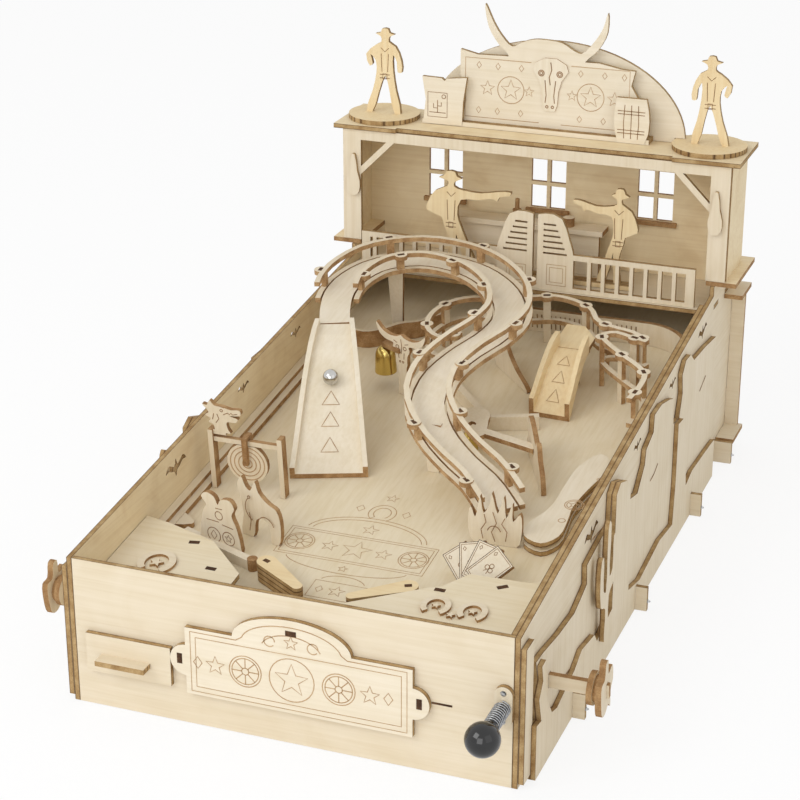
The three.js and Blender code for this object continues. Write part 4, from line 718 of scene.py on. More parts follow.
def scored_line_tree() -> Tree:
    """Build the tree that sweeps a thin flat band along edges, for lines the laser scored."""
    tree, given = geometry_tree("scored_line", "Width", "Depth")
    curve = node(tree, "GeometryNodeMeshToCurve", Mesh=given.outputs["Geometry"]).outputs[0]
    upright = node(tree, "GeometryNodeSetCurveNormal", {"mode": "Z_UP"}, Curve=curve).outputs[0]
    band = node(tree, "GeometryNodeCurvePrimitiveQuadrilateral", Width=given.outputs["Width"],
                Height=given.outputs["Depth"]).outputs[0]
    swept = node(tree, "GeometryNodeCurveToMesh", Curve=upright, Profile_Curve=band,
                 Fill_Caps=True).outputs[0]
    return finish_tree(tree, given, swept)


def screw_tree() -> Tree:
    """Build the tree that sets a domed screw head on each vertex."""
    tree, given = geometry_tree("screws", "Radius", "Height")
    radius, height = given.outputs["Radius"], given.outputs["Height"]
    small = node(tree, "ShaderNodeMath", {"operation": "MULTIPLY"}, _0=radius, _1=0.72).outputs[0]
    tiny = node(tree, "ShaderNodeMath", {"operation": "MULTIPLY"}, _0=radius, _1=0.3).outputs[0]
    low = node(tree, "GeometryNodeMeshCylinder", Vertices=20, Radius=radius, Depth=height).outputs[0]
    dome = node(tree, "GeometryNodeMeshCone", Vertices=20, Radius_Top=tiny, Radius_Bottom=small,
                Depth=height).outputs[0]
    lift = node(tree, "ShaderNodeCombineXYZ", Z=height).outputs[0]
    raised = node(tree, "GeometryNodeTransform", Geometry=dome, Translation=lift).outputs[0]
    head = tree.nodes.new("GeometryNodeJoinGeometry")
    tree.links.new(low, head.inputs[0])
    tree.links.new(raised, head.inputs[0])
    heads = node(tree, "GeometryNodeInstanceOnPoints", Points=given.outputs["Geometry"],
                 Instance=head.outputs[0]).outputs[0]
    return finish_tree(tree, given, heads)


def slot_tree() -> Tree:
    """Build the tree that sets a thin oblong on each vertex, turned by the vertex's own turn."""
    tree, given = geometry_tree("tenon_ends", "Length", "Width", "Height")
    size = node(tree, "ShaderNodeCombineXYZ", X=given.outputs["Length"], Y=given.outputs["Width"],
                Z=given.outputs["Height"]).outputs[0]
    block = node(tree, "GeometryNodeMeshCube", Size=size).outputs[0]
    turn = node(tree, "GeometryNodeInputNamedAttribute", {"data_type": "FLOAT"}, Name="turn").outputs[0]
    spin = node(tree, "ShaderNodeCombineXYZ", Z=turn).outputs[0]
    marks = node(tree, "GeometryNodeInstanceOnPoints", Points=given.outputs["Geometry"], Instance=block,
                 Rotation=spin).outputs[0]
    return finish_tree(tree, given, marks)


def coil_tree() -> Tree:
    """Build the tree that winds a round wire into an even coil."""
    tree, given = geometry_tree("coil", "Turns", "Radius", "Length", "Wire")
    radius = given.outputs["Radius"]
    path = node(tree, "GeometryNodeCurveSpiral", Resolution=24, Rotations=given.outputs["Turns"],
                Start_Radius=radius, End_Radius=radius, Height=given.outputs["Length"]).outputs[0]
    wire = node(tree, "GeometryNodeCurvePrimitiveCircle", Resolution=10,
                Radius=given.outputs["Wire"]).outputs[0]
    swept = node(tree, "GeometryNodeCurveToMesh", Curve=path, Profile_Curve=wire, Fill_Caps=True).outputs[0]
    return finish_tree(tree, given, node(tree, "GeometryNodeSetShadeSmooth", Geometry=swept).outputs[0])


def grown(name: str, mesh: Mesh, tree: Tree, values: dict, lay: Matrix) -> Piece:
    """Run a tree on a mesh and keep the result as a plain mesh, laid in its place.

    Args:
        name: The new piece's name.
        mesh: What the tree starts from, in mm.
        tree: The Geometry Nodes tree.
        values: Input values by their names.
        lay: The matrix from level millimetres to the piece's place.

    Returns:
        The finished object, at the origin, with its place in its mesh.
    """
    seed = bpy.data.objects.new(name + "_seed", mesh)
    bpy.context.scene.collection.objects.link(seed)
    modifier = seed.modifiers.new("grow", "NODES")
    modifier.node_group = tree
    for item in tree.interface.items_tree:
        if item.in_out == "INPUT" and item.name in values:
            modifier[item.identifier] = values[item.name]
    bpy.context.view_layer.update()
    made = bpy.data.meshes.new_from_object(seed.evaluated_get(bpy.context.evaluated_depsgraph_get()))
    made.name = name
    made.transform(lay)
    bpy.data.objects.remove(seed)
    return shown(name, made)


def shown(name: str, mesh: Mesh) -> Piece:
    """Put a mesh in the scene as an object at the origin, and return the object."""
    piece = bpy.data.objects.new(name, mesh)
    bpy.context.scene.collection.objects.link(piece)
    return piece


def points_mesh(places: list[tuple[float, ...]], edges: list[tuple[int, int]] | None = None) -> Mesh:
    """Return a mesh of bare points, joined by edges where they are given."""
    mesh = bpy.data.meshes.new("points")
    mesh.from_pydata([tuple(p[:3]) for p in places], edges or [], [])
    return mesh


def paths_mesh(paths: list[Path]) -> Mesh:
    """Return a mesh of edges along flat paths, in mm."""
    places: list[Place] = []
    edges: list[tuple[int, int]] = []
    for path in paths:
        loop = len(path) > 2 and math.dist(path[0], path[-1]) < 1e-6
        points = path[:-1] if loop else path
        start = len(places)
        places += [(x, y, 0.0) for x, y in points]
        edges += [(start + i, start + i + 1) for i in range(len(points) - 1)]
        if loop:
            edges.append((start + len(points) - 1, start))
    return points_mesh(places, edges)


def laid_mesh(name: str, shape: bmesh.types.BMesh, plane: Plane, *finishes: Material) -> Mesh:
    """Make a mesh of a shape, lay it on a plane and free the shape.

    Args:
        name: The mesh's name.
        shape: The shape in level mm.
        plane: The flat place.
        *finishes: Its materials, in the order of their slots.

    Returns:
        The mesh, in metres.
    """
    bmesh.ops.recalc_face_normals(shape, faces=shape.faces[:])
    mesh = bpy.data.meshes.new(name)
    shape.to_mesh(mesh)
    shape.free()
    mesh.transform(plane.matrix())
    for finish in finishes:
        mesh.materials.append(finish)
    return mesh


class Workshop:
    """The finishes, the trees and the few ways of making a piece that all sub-assemblies share."""

    def __init__(self) -> None:
        """Build the finishes and the trees."""
        self.finish = Finishes()
        self.line_tree = scored_line_tree()
        self.screw_tree = screw_tree()
        self.slot_tree = slot_tree()
        self.coil_tree = coil_tree()
        self.made: list[str] = []

    def keep(self, piece: Piece, body: str, slot: str) -> Piece:
        """Set a piece on its body, and report it.

        Args:
            piece: The finished piece.
            body: The CAD body it moves with.
            slot: The record's material slot; not used.

        Returns:
            The piece.
        """
        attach(piece, body)
        self.made.append(piece.name)
        log.info("%s rides on %s, %d faces", piece.name, body, len(piece.data.polygons))
        return piece

    def lines(self, name: str, body: str, plane: Plane, paths: list[Path], width: float = 0.45,
              material: Material | None = None) -> Piece:
        """Score lines on a flat place.

        Args:
            name: The piece's name.
            body: The body it rides on.
            plane: The flat place.
            paths: Lines in the plane's own mm.
            width: The line's width in mm.
            material: The line's finish, scored line if none is given.

        Returns:
            The piece.
        """
        values = {"Width": width, "Depth": LINE_DEPTH, "Material": material or self.finish.line}
        piece = grown(name, paths_mesh(paths), self.line_tree, values, plane.matrix())
        return self.keep(piece, body, "ply_face")

    def screws(self, name: str, body: str, plane: Plane, places: list[Point], radius: float = 1.5) -> Piece:
        """Set screw heads on a flat place.

        Args:
            name: The piece's name.
            body: The body it rides on.
            plane: The flat place.
            places: Screw places in the plane's own mm.
            radius: The head's radius in mm.

        Returns:
            The piece.
        """
        values = {"Radius": radius, "Height": SCREW_HEIGHT, "Material": self.finish.zinc}
        mesh = points_mesh([(x, y, 0.0) for x, y in places])
        return self.keep(grown(name, mesh, self.screw_tree, values, plane.matrix()), body, "steel")

    def tenons(self, name: str, body: str, plane: Plane, places: list[tuple[float, ...]], length: float = 6.0,
               width: float = PLY) -> Piece:
        """Show tenon ends as thin dark oblongs on a flat place; for a slot the dark oblong is partly painted
        shade of the hole.

        Args:
            name: The piece's name.
            body: The body it rides on.
            plane: The flat place.
            places: Each one's place in the plane's own mm, its height off it and its turn in radians.
            length: An oblong's length in mm.
            width: Its width in mm.

        Returns:
            The piece.
        """
        mesh = points_mesh(places)
        turns = mesh.attributes.new("turn", "FLOAT", "POINT")
        turns.data.foreach_set("value", [p[3] for p in places])
        values = {"Length": length, "Width": width, "Height": SLOT_HEIGHT, "Material": self.finish.burn}
        return self.keep(grown(name, mesh, self.slot_tree, values, plane.matrix()), body, "ply_face")

    def plate(self, name: str, body: str, plane: Plane, outlines: list[Path], thick: float,
              face: Material, edge: Material) -> Piece:
        """Cut flat plates and lay them on a plane.

        Args:
            name: The piece's name.
            body: The body it rides on.
            plane: The flat place.
            outlines: Outlines in the plane's own mm.
            thick: The plates' thickness in mm.
            face: The finish of their two faces.
            edge: The finish of their edges.

        Returns:
            The piece.
        """
        shape = bmesh.new()
        for outline in outlines:
            around = outline[:-1] if math.dist(outline[0], outline[-1]) < 1e-6 else outline
            lower = [shape.verts.new((x, y, 0)) for x, y in around]
            upper = [shape.verts.new((x, y, thick)) for x, y in around]
            shape.faces.new(list(reversed(lower)))
            shape.faces.new(upper)
            for i in range(len(around)):
                j = (i + 1) % len(around)
                shape.faces.new((lower[i], lower[j], upper[j], upper[i])).material_index = 1
        shape.normal_update()
        bmesh.ops.triangulate(shape, faces=[f for f in shape.faces if len(f.verts) > 4])
        return self.keep(shown(name, laid_mesh(name, shape, plane, face, edge)), body, "ply_face")

    def turned(self, name: str, body: str, plane: Plane, profile: Path, material: Material,
               slot: str, steps: int = 64) -> Piece:
        """Turn a round piece about the way out of a plane.

        Args:
            name: The piece's name.
            body: The body it rides on.
            plane: The plane through its axis, square to it.
            profile: Radii and heights in mm, from one end on the axis to the other.
            material: Its finish.
            slot: The record's material slot.
            steps: How many flats go round.

        Returns:
            The piece.
        """
        shape = bmesh.new()
        rows = []
        for radius, height in profile:
            turn = [2 * math.pi * i / steps for i in range(steps if radius > 0 else 1)]
            rows.append([shape.verts.new((radius * math.cos(a), radius * math.sin(a), height)) for a in turn])
        for low, high in zip(rows, rows[1:]):
            for i in range(steps):
                j = (i + 1) % steps
                ring_of = [low[i % len(low)], low[j % len(low)], high[j % len(high)], high[i % len(high)]]
                shape.faces.new(list(dict.fromkeys(ring_of)))
        mesh = laid_mesh(name, shape, plane, material)
        mesh.shade_smooth()
        mesh.set_sharp_from_angle(angle=math.radians(38))
        return self.keep(shown(name, mesh), body, slot)


# Sub-assemblies


@dataclass
class Case:
    """The box: panels, walls, cross bars, the rock relief, the aprons and the play field."""

    shop: Workshop
    bar_places: tuple[float, ...] = (76, 205, 340, 427)
    bar_reach: float = 138.0
    screw_height: float = 6.0
    wall_face: float = 122.0
    rock_sheet: float = 125.2
    rock_face: float = 128.4
    apron_top: float = 16.0
    ornament_thick: float = 1.6

    def build(self) -> None:
        """Dress the box's sheets and set its marks and screws."""
        f = self.shop.finish
        across_x = {s: Plane(drawn(s * self.wall_face, 0, 0), Y_WAY, Z_WAY) for s in (1, -1)}
        dress_sheet("front_panel", f.face[ALONG_X], f.cut_edge(front_plane(0, 0, 0)), Cut.ACROSS_Y)
        dress_sheet("wall_right", f.face[ALONG_Y], f.cut_edge(across_x[1]), Cut.ACROSS_X)
        dress_sheet("wall_left", f.face[ALONG_Y], f.cut_edge(across_x[-1]), Cut.ACROSS_X,
                    f.shade[ALONG_Y], X_WAY)
        for side, word in ((1, "right"), (-1, "left")):
            rock = Plane(drawn(side * self.rock_sheet, 0, 0), Y_WAY, Z_WAY)
            dress_sheet(f"mesa_{word}", f.face[ALONG_Z], f.cut_edge(rock), Cut.ACROSS_X)
        dress_sheet("back_panel", f.face[ALONG_X], f.edge)
        for i, y in enumerate(self.bar_places):
            edge = f.cut_edge(front_plane(0, y, 0))
            dress_sheet(f"cross_bar_{i + 1}", f.face[ALONG_X], edge, Cut.ACROSS_Y)
        level = f.cut_edge(field_plane())
        dress_sheet("play_field", f.field[ALONG_Y], level, Cut.LEVEL)
        dress_sheet("lane_rail", f.face[ALONG_Y], f.edge, Cut.LEVEL)
        edge = f.cut_edge(field_plane(0, 0, self.apron_top))
        for side in ("left", "right"):
            dress_sheet(f"apron_{side}", f.field[ALONG_X], edge, Cut.LEVEL)
        self.screws()
        self.aprons()
        self.field_marks()
        self.side_marks()

    def screws(self) -> None:
        """Set a small screw in each cross bar's outer end, both sides."""
        for word, side in (("right", 1), ("left", -1)):
            places = [(side * (y + PLY / 2), self.screw_height) for y in self.bar_places]
            self.shop.screws(f"bar_screws_{word}", "case", side_plane(side * self.bar_reach), places, 1.1)

    def aprons(self) -> None:
        """Lay raised ornaments on the aprons, with the tenon ends of their posts."""
        f, top = self.shop.finish, field_plane(0, 0, self.apron_top)
        shoes = [horseshoe(-94, 44, 10.5, 4.0), star(-94, 43.5, 4.2), horseshoe(64, 49.5, 8.0, 3.2),
                 horseshoe(84, 49.5, 8.0, 3.2), star(74, 43.5, 2.6), star(64, 49.5, 2.6), star(84, 49.5, 2.6)]
        self.shop.plate("apron_ornaments", "case", top, shoes, self.ornament_thick, f.face[ALONG_X],
                        f.edge)
        places = [(-64, 48.5, 0, 0), (91, 78, 0, 0.6), (60.5, 65.6, 0, 0), (-84, 70, 0, 0.2)]
        self.shop.tenons("apron_tenons", "case", top, places)

    def field_marks(self) -> None:
        """Score a plain ornament on the open part of the field: banners between wheels and stars."""
        lines = [oblong(-50, 98, 38, 126), oblong(-48, 100, 36, 124), arc(-6, 126, 36, 20, 8, 172),
                 arc(-6, 126, 33, 17, 8, 172), arc(-6, 98, 36, 11, 188, 352)]
        for x in (-40, 28):
            lines += wheel(x, 112, 8.5)
        lines += [star(-6, 112, 9), star(-22, 112, 5), star(10, 112, 5), star(-6, 134, 5), star(-6, 92, 3)]
        lines += [horseshoe(-6, 153, 8, 3), star(-6, 170, 4), diamond(-20, 155, 3.5), diamond(8, 155, 3.5)]
        lines += [oblong(-16, 62, 14, 78), star(-1, 70, 5), diamond(-11, 70, 3), diamond(9, 70, 3)]
        lines += [arc(-1, 78, 13, 7, 15, 165)]
        self.shop.lines("field_ornament", "case", field_plane(0, 0, SKIN), lines, 0.5)

    def side_marks(self) -> None:
        """Score cracks on the rock relief, both sides."""
        cracks = [[(46.4, 22.6), (38, 25), (30, 22)], [(77.8, 27.9), (66, 29), (58, 26)],
                  [(91.4, 32.7), (104, 31), (116.1, 29)], [(377.2, 81.4), (369, 79), (361.6, 76.7)],
                  [(256.4, 71.1), (248, 68), (239.4, 67.1)], [(140.9, 83.9), (127, 86), (113.6, 87.5)]]
        for side, word in ((1, "right"), (-1, "left")):
            paths = [[(side * y, z) for y, z in path] for path in cracks]
            plane = side_plane(side * (self.rock_face + SKIN))
            self.shop.lines(f"rock_cracks_{word}", "case", plane, paths, 0.7, self.shop.finish.deep)


@dataclass
class Front:
    """What the front panel carries: sign plate, drawer, plunger."""

    shop: Workshop
    plate_face: float = -3.2
    sign_face: float = -3.22
    sign_middle: Point = (4, 39.5)
    sign_low: float = 20.0
    sign_high: float = 59.0
    panel_face: float = -0.02
    axis: Place = (117.6, -35.0, 47.5)
    knob_radius: float = 9.0
    collar: Pair = (4.5, -10.8)
    coil_ends: Pair = (-23.5, -4.1)
    coil: Triple = (10.0, 4.0, 0.4)
    stroke: float = 12.0
    slot_place: Point = (84.5, 40.5)
    slot_size: Pair = (11.0, 1.2)
    screw_reach: float = 8.0

    def build(self) -> None:
        """Dress the front's nodes and score the sign."""
        f = self.shop.finish
        plate_edge = f.cut_edge(front_plane(0, self.plate_face, 0))
        dress_sheet("drawer_tray", f.face[ALONG_X], f.edge)
        dress_sheet("drawer_front", f.face[ALONG_X], plate_edge)
        dress_sheet("sign_plate", f.pale[ALONG_X], plate_edge, Cut.ACROSS_Y)
        dress_sheet("plunger_bracket", f.face[ALONG_Z], plate_edge, Cut.ACROSS_Y)
        # The rod's darker steel paints the shade inside the spring's coil
        for name, finish in (("knob", f.black), ("rod", f.rod), ("spring", f.spring)):
            dress_whole(f"plunger_{name}", finish)
        self.sign()
        self.slots()
        self.knob()
        self.spring()
        plane = front_plane(self.axis[0], self.plate_face, self.axis[2])
        self.shop.screws("bracket_screws", "case", plane, [(0, self.screw_reach), (0, -self.screw_reach)])

    def sign(self) -> None:
        """Score the sign's border and a plain ornament, and show the three tenons that hold it."""
        plane = front_plane(0, self.sign_face, 0)
        (x, z), low, high = self.sign_middle, self.sign_low + 2, self.sign_high - 2
        crown = arc(x, high, 28, 13, 10, 170, 20)
        border = closed([(-53, low), (67, low), (67, high), (35, high), *crown, (-27, high), (-53, high)])
        marks = [border, oblong(-50, low + 3, 64, high - 3), star(x, z, 9.5), ring(x, z, 12.5)]
        marks += [arc(x, 55, 17, 10, 18, 162), star(x, 61, 4)]
        for side in (-1, 1):
            marks += wheel(x + side * 26, z, 9)
            marks += [star(x + side * 43, z, 5.5), diamond(x + side * 53, z, 3.5)]
            marks += [arc(x + side * 12, 60, 3, 3, 0, 320, 12)]
        self.shop.lines("sign_scoring", "case", plane, marks, 0.55)
        places = [(-59.5, 40, 0, math.pi / 2), (x, 66.5, 0, 0), (73.5, 40, 0, math.pi / 2)]
        self.shop.tenons("sign_tenons", "case", plane, places)

    def slots(self) -> None:
        """Show the slot at the right of the front panel as a dark oblong: its scorched walls, and painted
        shade for the hole's depth.
        """
        plane, places = front_plane(0, self.panel_face, 0), [(*self.slot_place, 0, 0)]
        self.shop.tenons("panel_slot_right_burn_and_painted_shade", "case", plane, places, *self.slot_size)

    def knob(self) -> None:
        """Turn the plunger's knob: a ball with a short collar behind it."""
        r, (neck, back) = self.knob_radius, self.collar
        meet = 180 - math.degrees(math.asin(neck / r))
        steps = 28
        turn = [math.radians(meet * i / steps) for i in range(1, steps + 1)]
        profile = [(0.0, r), *[(r * math.sin(a), r * math.cos(a)) for a in turn], (neck, back), (0.0, back)]
        piece = self.shop.turned("knob_polished", "plunger", front_plane(*self.axis), profile,
                                 self.shop.finish.black, "black_knob")
        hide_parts("plunger_knob")

    def spring(self) -> None:
        """Wind the spring, which rides with the plunger."""
        turns, radius, wire = self.coil
        start, end = self.coil_ends
        values = {"Turns": turns, "Radius": radius, "Length": end - start, "Wire": wire,
                  "Material": self.shop.finish.spring}
        plane = Plane(drawn(self.axis[0], start, self.axis[2]), Z_WAY, X_WAY)
        piece = grown("spring_coil", points_mesh([(0, 0, 0)]), self.shop.coil_tree, values, plane.matrix())
        self.shop.keep(piece, "plunger", "spring_steel")
        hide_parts("plunger_spring")
        anchor = drawn(self.axis[0], start, self.axis[2])
        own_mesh(piece)


@dataclass
class Flippers:
    """The two flippers and their pushers."""

    shop: Workshop
    pivot: Point = (41.0, 70.0)
    low: float = 0.8
    top: float = 12.22
    tenon: Pair = (4.0, 2.6)
    tenon_turn: float = 0.4

    def build(self) -> None:
        """Dress the nodes and show each flipper's pin end."""
        f = self.shop.finish
        level = f.cut_edge(field_plane(0, 0, self.low))
        for side, word in ((-1, "left"), (1, "right")):
            dress_sheet(f"flipper_{word}", f.honey[ALONG_X], level, Cut.LEVEL)
            dress_sheet(f"push_rod_{word}", f.face[ALONG_X], f.edge, Cut.ACROSS_Y)
            dress_sheet(f"push_knob_{word}", f.face[ALONG_Z], f.edge, Cut.ACROSS_X)
            places = [(side * self.pivot[0], self.pivot[1], 0, side * self.tenon_turn)]
            self.shop.tenons(f"flipper_tenons_{word}", f"flipper_{word}", field_plane(0, 0, self.top), places,
                             *self.tenon)


@dataclass
class Ramps:
    """The ramps, the loop and the rails."""

    shop: Workshop
    foot: Point = (-50.3, 181)
    head: Point = (-83.7, 279)
    rise: float = 50.0
    loop_start: Place = (-84.5, 280.6, 50.0)
    loop: tuple[Point, ...] = (
        (-92, 300), (-98, 322), (-98, 345), (-88, 370), (-62, 385), (-27, 378), (3, 351))
    drop: tuple[Place, ...] = (
        (17, 318, 50), (15, 292, 49.5), (4, 266, 47), (-3, 242, 43), (-1, 219, 37), (12, 200, 30),
        (29, 187, 23), (48, 176, 16.5), (64, 160, 11))
    guide: tuple[Point, ...] = (
        (11, 383), (25, 388), (40, 385), (53, 376), (62, 361), (74, 355), (88, 351), (99, 342))
    hook: tuple[Point, ...] = (
        (99, 341), (87, 345), (76, 348), (70, 342), (75, 334), (91, 318), (103, 307), (109, 298), (110, 282),
        (108, 266))
    circle: tuple[Point, ...] = (
        (-8, 373), (-22, 379), (-37, 370), (-45, 348), (-40, 326), (-28, 317), (-18, 327))
    rail_offset: float = 12.42
    lug_offset: float = 2.3
    rail_height: float = 14.0
    lug: Pair = (4.6, 2.4)
    lug_first: int = 2
    lug_every: int = 6
    loop_steps: int = 50
    loop_opening: int = 4
    guide_ends: Pair = (0.2, 8.82)
    deck_foot: float = 3.2
    deck_curve: float = 1.15
    deck_steps: int = 8
    arrow_lift: float = 0.12
    arrow_line: Pair = (0.45, 0.3)

    def build(self) -> None:
        """Dress the ramps, score their arrows and show the rails' lugs."""
        f = self.shop.finish
        for name in ("straight_ramp", "loop_deck"):
            dress_sheet(name, f.pale[ALONG_Y], f.edge, Cut.LEVEL_AND_WIDE)
        dress_sheet("small_ramp", f.honey[ALONG_Y], f.edge, Cut.LEVEL_AND_WIDE)
        dress_sheet("kerf_fence", f.face[ALONG_Z], f.edge)
        for name in ("loop_rail_outer", "loop_rail_inner", "guide_rails", "ring_guide", "v_rail"):
            dress_sheet(name, f.face[ALONG_Y], f.rail, Cut.LEVEL_AND_WIDE)
        low, top = [field_plane(0, 0, z) for z in self.guide_ends]
        dress_sheet("lane_guide", f.pale[ALONG_Y], f.cut_edge(low), Cut.LEVEL)
        self.arrows("ramp_arrows", self.foot, self.head, self.rise, (0.16, 0.3, 0.42), 5.2)
        self.arrows("small_ramp_arrows", (52, 287.5), (54, 331), 29.0, (0.22, 0.45, 0.68), 4.0)
        self.lugs()
        marks = [ring(100, 180, 5.5), ring(100, 180, 4.3), star(100, 180, 3.4), ring(98, 162, 2)]
        marks += [ring(106, 211, 1.6)]
        self.shop.lines("lane_guide_marks", "case", top, marks, 0.5)

    def lugs(self) -> None:
        """Show the tenon end of every rail lug, each turned along its rail."""
        stations = [self.loop_start, *[(*p, self.rise) for p in self.loop], *self.drop]
        path = smooth_path(stations, self.loop_steps)[self.loop_opening:]
        places = []
        for side in (-1, 1):
            places += self.lug_places(path, side * (self.rail_offset + self.lug_offset), 11)
        for row, steps, high in ((self.guide, 21, 20), (self.hook, 28, 20), (self.circle, 21, 17)):
            places += self.lug_places(smooth_path([(*p, self.rail_height) for p in row], steps), 0.0, high)
        self.shop.tenons("rail_lug_ends", "case", field_plane(), places, *self.lug)

    def lug_places(self, path: list[Vector], away: float, high: float) -> list[tuple[float, ...]]:
        """Return the top of each lug along a rail.

        Args:
            path: The rail's path.
            away: How far beside it the lugs stand.
            high: How high the lugs' tops are above the path.

        Returns:
            Places with their heights and turns.
        """
        places = []
        for i in range(self.lug_first, len(path) - 1, self.lug_every):
            along = path[i + 1] - path[i - 1]
            turn = math.atan2(along.y, along.x)
            places.append((path[i].x - math.sin(turn) * away, path[i].y + math.cos(turn) * away,
                           path[i].z + high + SKIN, turn))
        return places

    def arrows(self, name: str, foot: Point, head: Point, rise: float, shares: tuple[float, ...],
               size: float) -> None:
        """Score triangles up a ramp, each on its own stretch of the deck.

        Args:
            name: The piece's name.
            foot: The ramp's foot on the field.
            head: The ramp's head on the field.
            rise: The head's height.
            shares: Where the triangles stand along the ramp.
            size: Half a triangle's width.
        """
        def height(t: float) -> float:
            """Return the deck's height at a share of its length."""
            steps, climb = self.deck_steps, rise - self.deck_foot
            at = math.floor(t * steps) / steps
            low, high = [self.deck_foot + climb * math.sin(s * math.pi / 2) ** self.deck_curve
                         for s in (at, min(at + 1 / steps, 1))]
            return low + (high - low) * (t - at) * steps

        places, edges = [], []
        along = Vector((head[0] - foot[0], head[1] - foot[1]))
        side = Vector((along.y, -along.x)).normalized() * size
        for share in shares:
            low, tip = share - size * 0.7 / along.length, share + size * 0.9 / along.length
            middle, start = (low + tip) / 2, len(places)
            path = [(low, -1), (low, 0), (low, 1), (middle, 0.5), (tip, 0), (middle, -0.5)]
            for t, s in path:
                spot = Vector(foot) + along * t + side * s
                places.append(tuple(on_field(spot.x, spot.y, height(t) + self.arrow_lift) / MM))
            edges += [(start + i, start + (i + 1) % len(path)) for i in range(len(path))]
        width, depth = self.arrow_line
        values = {"Width": width, "Depth": depth, "Material": self.shop.finish.line}
        piece = grown(name, points_mesh(places, edges), self.shop.line_tree, values, Matrix.Scale(MM, 4))
        self.shop.keep(piece, "case", "ply_face")


